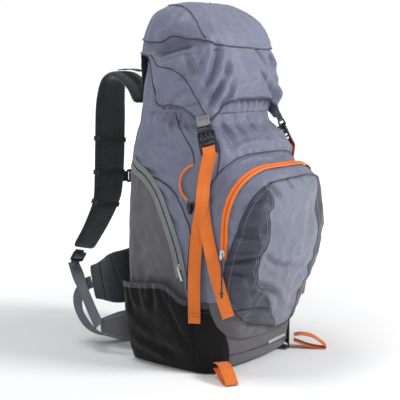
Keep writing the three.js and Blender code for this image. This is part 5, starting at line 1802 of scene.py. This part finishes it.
class PACK_OT_shoulder_straps(bpy.types.Operator):
    """Padded shoulder straps with binding and stitched webbing bars, and their load lifters"""

    bl_idname = "pack.shoulder_straps"
    bl_label = "Shoulder straps"

    def execute(self, context):
        path = curve(SHOULDER, 170)
        f = np.linspace(0, 1, 170)
        width = 62 + 16 * smooth(f, 0.17, 0.4) - 20 * smooth(f, 0.57, 1)
        across = points(1.0 + 0 * f, -0.15 * smooth(f, 0.6, 1), 0.2 * smooth(f, 0.6, 1))
        pinches = (0.50, 0.64, 0.78)
        _, side, normal = frames(path, across)
        lifter = curve([(-63, 163, 529.4), (-66, 140, 531), (-72, 118, 530), (-78, 97.5, 527)], 40)
        for name, sign in BOTH:
            mirror = np.array([sign, 1.0, 1.0])
            pad = make(f"shoulder_pad_{name}",
                       [padded_strap(path * mirror, across * mirror, width, 12.2, pinches)],
                       harness_mesh(), "pack", f"shoulder_strap_{name}")
            make(f"shoulder_binding_{name}", strap_edges(path * mirror, across * mirror, width, 2.0),
                 yarn("Black binding", colours().black))
            bars = []
            for at in pinches:
                k = int(at * 169)
                line = path[k] + side[k] * np.linspace(-0.5, 0.5, 14)[:, None] * width[k] * 0.98
                for way in (-1, 1):
                    bars.append(ribbon((line + normal[k] * 5.2 * way) * mirror,
                                       unit(path[k + 1] - path[k - 1]) * mirror, 9, 1.6))
            spine = path[12:-6] + normal[12:-6] * -5.7 * np.sign(normal[80] @ [0, -1, 0])
            bars.append(ribbon(spine * mirror, across[12:-6] * mirror, 18, 1.2))
            make(f"shoulder_webbing_{name}", bars, black_webbing())
            make(f"load_lifter_{name}_webbing",
                 [ribbon(lifter * mirror, np.array([1, 0.1, 0]) * mirror, 20, 1.8)],
                 black_webbing(), "pack", f"load_lifter_{name}")
        return {"FINISHED"}


class PACK_OT_adjusters(bpy.types.Operator):
    """Ladder-lock adjusters, the lower webbing with its folded tail, and the anchor patches"""

    bl_idname = "pack.adjusters"
    bl_label = "Strap adjusters"

    def execute(self, context):
        across = np.array([1.0, -0.15, 0.2])
        side = unit(across - ADJUSTER_DOWN * (across @ ADJUSTER_DOWN))
        out = np.cross(ADJUSTER_DOWN, side)
        start, end = ADJUSTER + ADJUSTER_DOWN * 15 + [0, 2.2, 0], PATCH_TIP + [-5.6, 0, 2]
        f = np.linspace(0, 1, 60)[:, None]
        web = start + (end - start) * f + np.array([0, 2.0, -1.0]) * np.sin(math.pi * f)
        turn = mix(across, np.array([0.1, -0.81, 0.58]), smooth(f, 0, 0.45))
        patch = curve([(-112, 98.2, 56), (-126, 112, 55), (-134, 132, 53), tuple(PATCH_TIP)], 40)
        heights = np.interp(np.linspace(0, 3, 40), [0, 1, 2, 3], [64, 56, 42, 27])
        for name, sign in BOTH:
            mirror = np.array([sign, 1.0, 1.0])
            axes = np.array([side, ADJUSTER_DOWN, out]) * mirror

            def bar(a, b, wide, long, c=2.0, thick=4.4):
                return pillow((ADJUSTER + side * a + ADJUSTER_DOWN * b + out * c) * mirror, (wide, long, thick),
                              axes, 0.4)

            ladder = [bar(-15.2, 0, 3.8, 19.5), bar(15.2, 0, 3.8, 19.5), bar(0, -8.2, 32, 3.2),
                      bar(0, 0, 30, 3.8, 1.6),
                      bar(0, 8.2, 32, 3.2, 2.4)]
            make(f"ladder_lock_{name}", ladder, black_plastic(), "pack", f"strap_adjuster_{name}")
            make(f"lower_webbing_{name}", [ribbon(web * mirror, turn * mirror, 23, 1.8)], grey_webbing(), "pack",
                 f"strap_webbing_{name}")
            fold = [(ADJUSTER + ADJUSTER_DOWN * b + out * c) * mirror for b, c in
                    ((-13, -1.5), (-6, -0.8), (-3.6, 2.5), (0, 4.8), (3.8, 2.2), (9, 1.0), (15, 2.0))]
            make(f"adjuster_turn_{name}", [ribbon(curve(fold, 30), axes[0], 24, 1.7)], grey_webbing())
            cloth = [padded_strap(patch * mirror, (0, 0, 1), heights, 3.4, (), 24, 0.45)]
            make(f"anchor_patch_{name}_cloth", cloth, charcoal_cloth(), "pack", f"anchor_patch_{name}")
            rows = []
            for way in (-1, 1):
                for k in (0.82, 0.74):
                    line = patch + np.stack([0 * heights, 0 * heights, heights * k / 2 * way], -1)
                    lift = unit(np.cross(np.gradient(line, axis=0), [0, 0, 1.0])) * -1
                    rows.append(stitching((line + lift * 1.8) * mirror, lift * mirror, 0.1))
            make(f"anchor_patch_{name}_stitching", rows, thread())
        return {"FINISHED"}


class PACK_OT_haul_loop(bpy.types.Operator):
    """The webbing loop between the shoulder straps"""

    bl_idname = "pack.haul_loop"
    bl_label = "Haul loop"

    def execute(self, context):
        half = [(-25, 104, 531), (-25, 105, 517), (-20, 107, 504), (-9, 108, 497), (0, 108.3, 495.5)]
        path = curve([*half, *[(-x, y, z) for x, y, z in half[-2::-1]]], 80)
        make("haul_loop_webbing", [ribbon(path, (0, 1, 0), 16, 2.6)],
             webbing("Haul loop webbing", colours().black, 16.0),
             "haul_loop", "haul_loop")
        return {"FINISHED"}


def cushion(x, y, z, width, depth, height, channels, seed):
    """A crowned pad: half width and half height follow a superellipse, the face rises as the root
    of one minus reach to the sixth, and sewn channels cross it."""
    u, v = np.linspace(-1, 1, 80)[:, None], np.linspace(-1, 1, 130)[None]
    k = np.maximum(np.abs(u), np.abs(v)) / np.maximum((np.abs(u) ** 5 + np.abs(v) ** 5) ** 0.2, 1e-9)
    px, pz = x + width / 2 * u * k, z + height / 2 * v * k
    reach = np.maximum(np.abs(u), np.abs(v))
    rise = np.sqrt(np.clip(1 - reach**6, 0, 1))
    groove = sum(3.2 * np.exp(-(((v * height / 2 - c) / 2.6) ** 2)) for c in channels)
    soft = crumple(px, pz, 30.0, seed) * 0.5
    front = points(px, y - depth / 2 + (depth - groove + soft) * rise, pz)
    back = points(px, y - depth / 2, pz)
    return [part(front[::-1]), part(back)]


class PACK_OT_back_pads(bpy.types.Operator):
    """The two long back pads and the lumbar pad"""

    bl_idname = "pack.back_pads"
    bl_label = "Back pads"

    def execute(self, context):
        mesh = air_mesh("Back pad mesh", colours().air_mesh, 4.6)
        for name, sign in BOTH:
            pad = make(f"back_cushion_{name}", cushion(-46 * sign, 103, 330, 72, 13.6, 219, (-60, 0, 60), 81),
                       mesh, "pack",
                       f"back_pad_{name}", closed=False)
        lumbar = make("lumbar_cushion", cushion(0, 103.5, 154, 121, 14.8, 111, (-22, 22), 83), mesh, "pack",
                      "lumbar_pad",
                      closed=False)
        trims = [self.edge(-46, 330, 72, 219), self.edge(46, 330, 72, 219), self.edge(0, 154, 121, 111)]
        make("back_pad_binding", trims, yarn("Black binding", colours().black))
        return {"FINISHED"}

    def edge(self, x, z, width, height):
        """Binding along a superellipse round the pad's foot."""
        t = np.linspace(0, 2 * math.pi, 121)
        c, s = np.cos(t), np.sin(t)
        path = points(x + np.sign(c) * np.abs(c) ** 0.4 * (width / 2 - 0.5), 97.4 + 0 * t,
                      z + np.sign(s) * np.abs(s) ** 0.4 * (height / 2 - 0.5))
        return tube(path, 1.8)


class PACK_OT_sternum_strap(bpy.types.Operator):
    """The chest strap: two webbing halves and a small side-release buckle"""

    bl_idname = "pack.sternum_strap"
    bl_label = "Sternum strap"

    def execute(self, context):
        path = curve([(-88, 193.8, 322), (-60, 193.6, 322), (-17, 194.8, 322)], 40)
        for name, sign in BOTH:
            mirror = np.array([sign, 1.0, 1.0])
            make(f"sternum_{name}_webbing", [ribbon(path * mirror, (0, 0, 1), 20, 1.7)], black_webbing(),
                 "sternum_strap",
                 f"sternum_webbing_{name}")
            slider = [pillow(np.array([-84.0, 195.5, 322 + way * 11.5]) * mirror, (7, 3, 3), power=0.5)
                      for way in (-1, 1)]
            slider += [pillow(np.array([-84.0 + a, 196.0, 322]) * mirror, (2.4, 2.2, 24), power=0.5)
                       for a in (-3, 3)]
            make(f"sternum_slider_{name}", slider, black_plastic(), "sternum_strap")
        female = [pillow((-6.0, 194.5, 322 + way * 10.6), (20, 3.2, 4.6), power=0.4) for way in (-1, 1)]
        female += [pillow((a, 194.5, 322), (w, 3.0, 25), power=0.4) for a, w in ((-15, 3), (-8.4, 3.2), (2, 10))]
        make("sternum_socket", female, black_plastic(), "sternum_strap", "sternum_buckle_female")
        male = [pillow((a, 198.1, 322), (w, 3.0, 21), power=0.4) for a, w in ((15, 3), (8.2, 3.4))]
        male += [pillow((4.0, 198.1, 322 + way * 8.6), (23, 3.0, 4.2), power=0.5) for way in (-1, 1)]
        male.append(pillow((0, 198.1, 322), (12, 2.6, 3.6), power=0.5))
        make("sternum_prong", male, black_plastic(), "sternum_strap", "sternum_buckle_male")
        return {"FINISHED"}


class PACK_OT_hip_belt(bpy.types.Operator):
    """Padded hip wings with their light binding, the webbing round the front and its buckle"""

    bl_idname = "pack.hip_belt"
    bl_label = "Hip belt"

    def execute(self, context):
        path = curve([(-72, 128, 146), (-94, 134, 142), (-107, 156, 134), (-108, 199, 124)], 90)
        f = np.linspace(0, 1, 90)
        height = 100 - 34 * smooth(f, 0.25, 1.0)
        binding = yarn("Wing binding", colours().binding)
        for name, sign in BOTH:
            mirror = np.array([sign, 1.0, 1.0])
            wing = make(f"hip_pad_{name}",
                        [padded_strap(path * mirror, (0, 0, 1), height, 13.0, (0.35, 0.68), 40, 0.55)],
                        air_mesh("Wing mesh", colours().air_mesh, 2.8), "hip_belt", f"hip_wing_{name}")
            make(f"hip_binding_{name}", strap_edges(path * mirror, (0, 0, 1), height * 0.985, 2.4, 1.6), binding,
                 "hip_belt")
            end = 4.8 if sign > 0 else 9.0
            route = curve([(-109, 204, 124), (-109, 217, 118), (-110, 232, 104), (-112, 240, 84), (-111, 235, 58),
                           (-104, 217, 32), (-88, 197, 16), (-62, 181, 9.5), (-36, 173, end)], 150)
            g = np.linspace(0, 26, 150)
            across = mix(np.array([0, 0, 1.0]), np.array([0, 1.0, 0]), smooth(g, 2, 16)[:, None])
            make(f"hip_{name}_webbing", [ribbon(route * mirror, across * mirror, 23.5, 1.8)], grey_webbing(),
                 "hip_belt",
                 f"hip_webbing_{name}")
        self.buckle()
        return {"FINISHED"}

    def buckle(self):
        """Two rails and cross bars for each half: the socket lies under the prongs."""
        def half(side, long, z, high):
            middle = 9.6 * side
            rails = [pillow((middle, 172 + way * (long / 2 - 2.2), z), (44, 4.2, high), power=0.4)
                     for way in (-1, 1)]
            bars = [pillow((middle + side * a, 172, z), (w, long - 1, high), power=0.4) for a,
                    w in ((20.5, 2.9), (12.2, 3.6))]
            return rails + bars + [pillow((middle - side * 6, 172, z), (28, long - 5, high * 0.8), power=0.4)]

        make("hip_socket", half(-1, 40, 4.8, 3.5), black_plastic(), "hip_belt", "hip_buckle_female")
        make("hip_prong", half(1, 34, 9.0, 3.5), black_plastic(), "hip_belt", "hip_buckle_male")


# ---------------------------------------------------------------- frame inside
class PACK_OT_inner_frame(bpy.types.Operator):
    """Finishes for the stiff frame sheet and its stay"""

    bl_idname = "pack.inner_frame"
    bl_label = "Inner frame"

    def execute(self, context):
        for node, finish in (("frame_sheet", moulded("Frame sheet plastic", srgb(44, 44, 47), 0.5)),
                             ("frame_stay", cast_metal("Aluminium stay", srgb(190, 192, 196), 0.32))):
            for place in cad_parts[node].material_slots:
                place.material = finish
        return {"FINISHED"}


# ---------------------------------------------------------------- panel and registration
MAKERS = (PACK_OT_stage, PACK_OT_pull_cord, PACK_OT_pole_keepers, PACK_OT_body, PACK_OT_boot, PACK_OT_collar,
          PACK_OT_front_pocket, PACK_OT_front_zip, PACK_OT_side_pockets, PACK_OT_side_zips, PACK_OT_lid,
          PACK_OT_lid_buckles, PACK_OT_lid_straps, PACK_OT_tool_loops, PACK_OT_shoulder_straps, PACK_OT_adjusters,
          PACK_OT_haul_loop, PACK_OT_back_pads, PACK_OT_sternum_strap, PACK_OT_hip_belt, PACK_OT_inner_frame)


class PACK_PT_sidebar(bpy.types.Panel):
    """Lists the pack's pieces, and the sizes and colours they are made with"""

    bl_label = "Trekking backpack"
    bl_idname = "PACK_PT_sidebar"
    bl_space_type = "VIEW_3D"
    bl_region_type = "UI"
    bl_category = "Backpack"

    def draw(self, context):
        for maker in MAKERS:
            self.layout.operator(maker.bl_idname)
        for group in (context.scene.pack_sizes, context.scene.pack_colours, context.scene.stage_settings):
            box = self.layout.box()
            for name in group.bl_rna.properties.keys():
                if name not in ("rna_type", "name"):
                    box.prop(group, name)


CLASSES = (PackColours, PackSizes, StageSettings, *MAKERS, PACK_PT_sidebar)


def register():
    for one in CLASSES:
        bpy.utils.register_class(one)
    bpy.types.Scene.pack_colours = bpy.props.PointerProperty(type=PackColours)
    bpy.types.Scene.pack_sizes = bpy.props.PointerProperty(type=PackSizes)
    bpy.types.Scene.stage_settings = bpy.props.PointerProperty(type=StageSettings)


def unregister():
    for name in ("pack_colours", "pack_sizes", "stage_settings"):
        delattr(bpy.types.Scene, name)
    for one in reversed(CLASSES):
        bpy.utils.unregister_class(one)


def main():
    register()
    for maker in MAKERS:
        getattr(bpy.ops.pack, maker.bl_idname.split(".")[1])()
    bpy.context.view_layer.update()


if __name__ == "__main__":
    main()
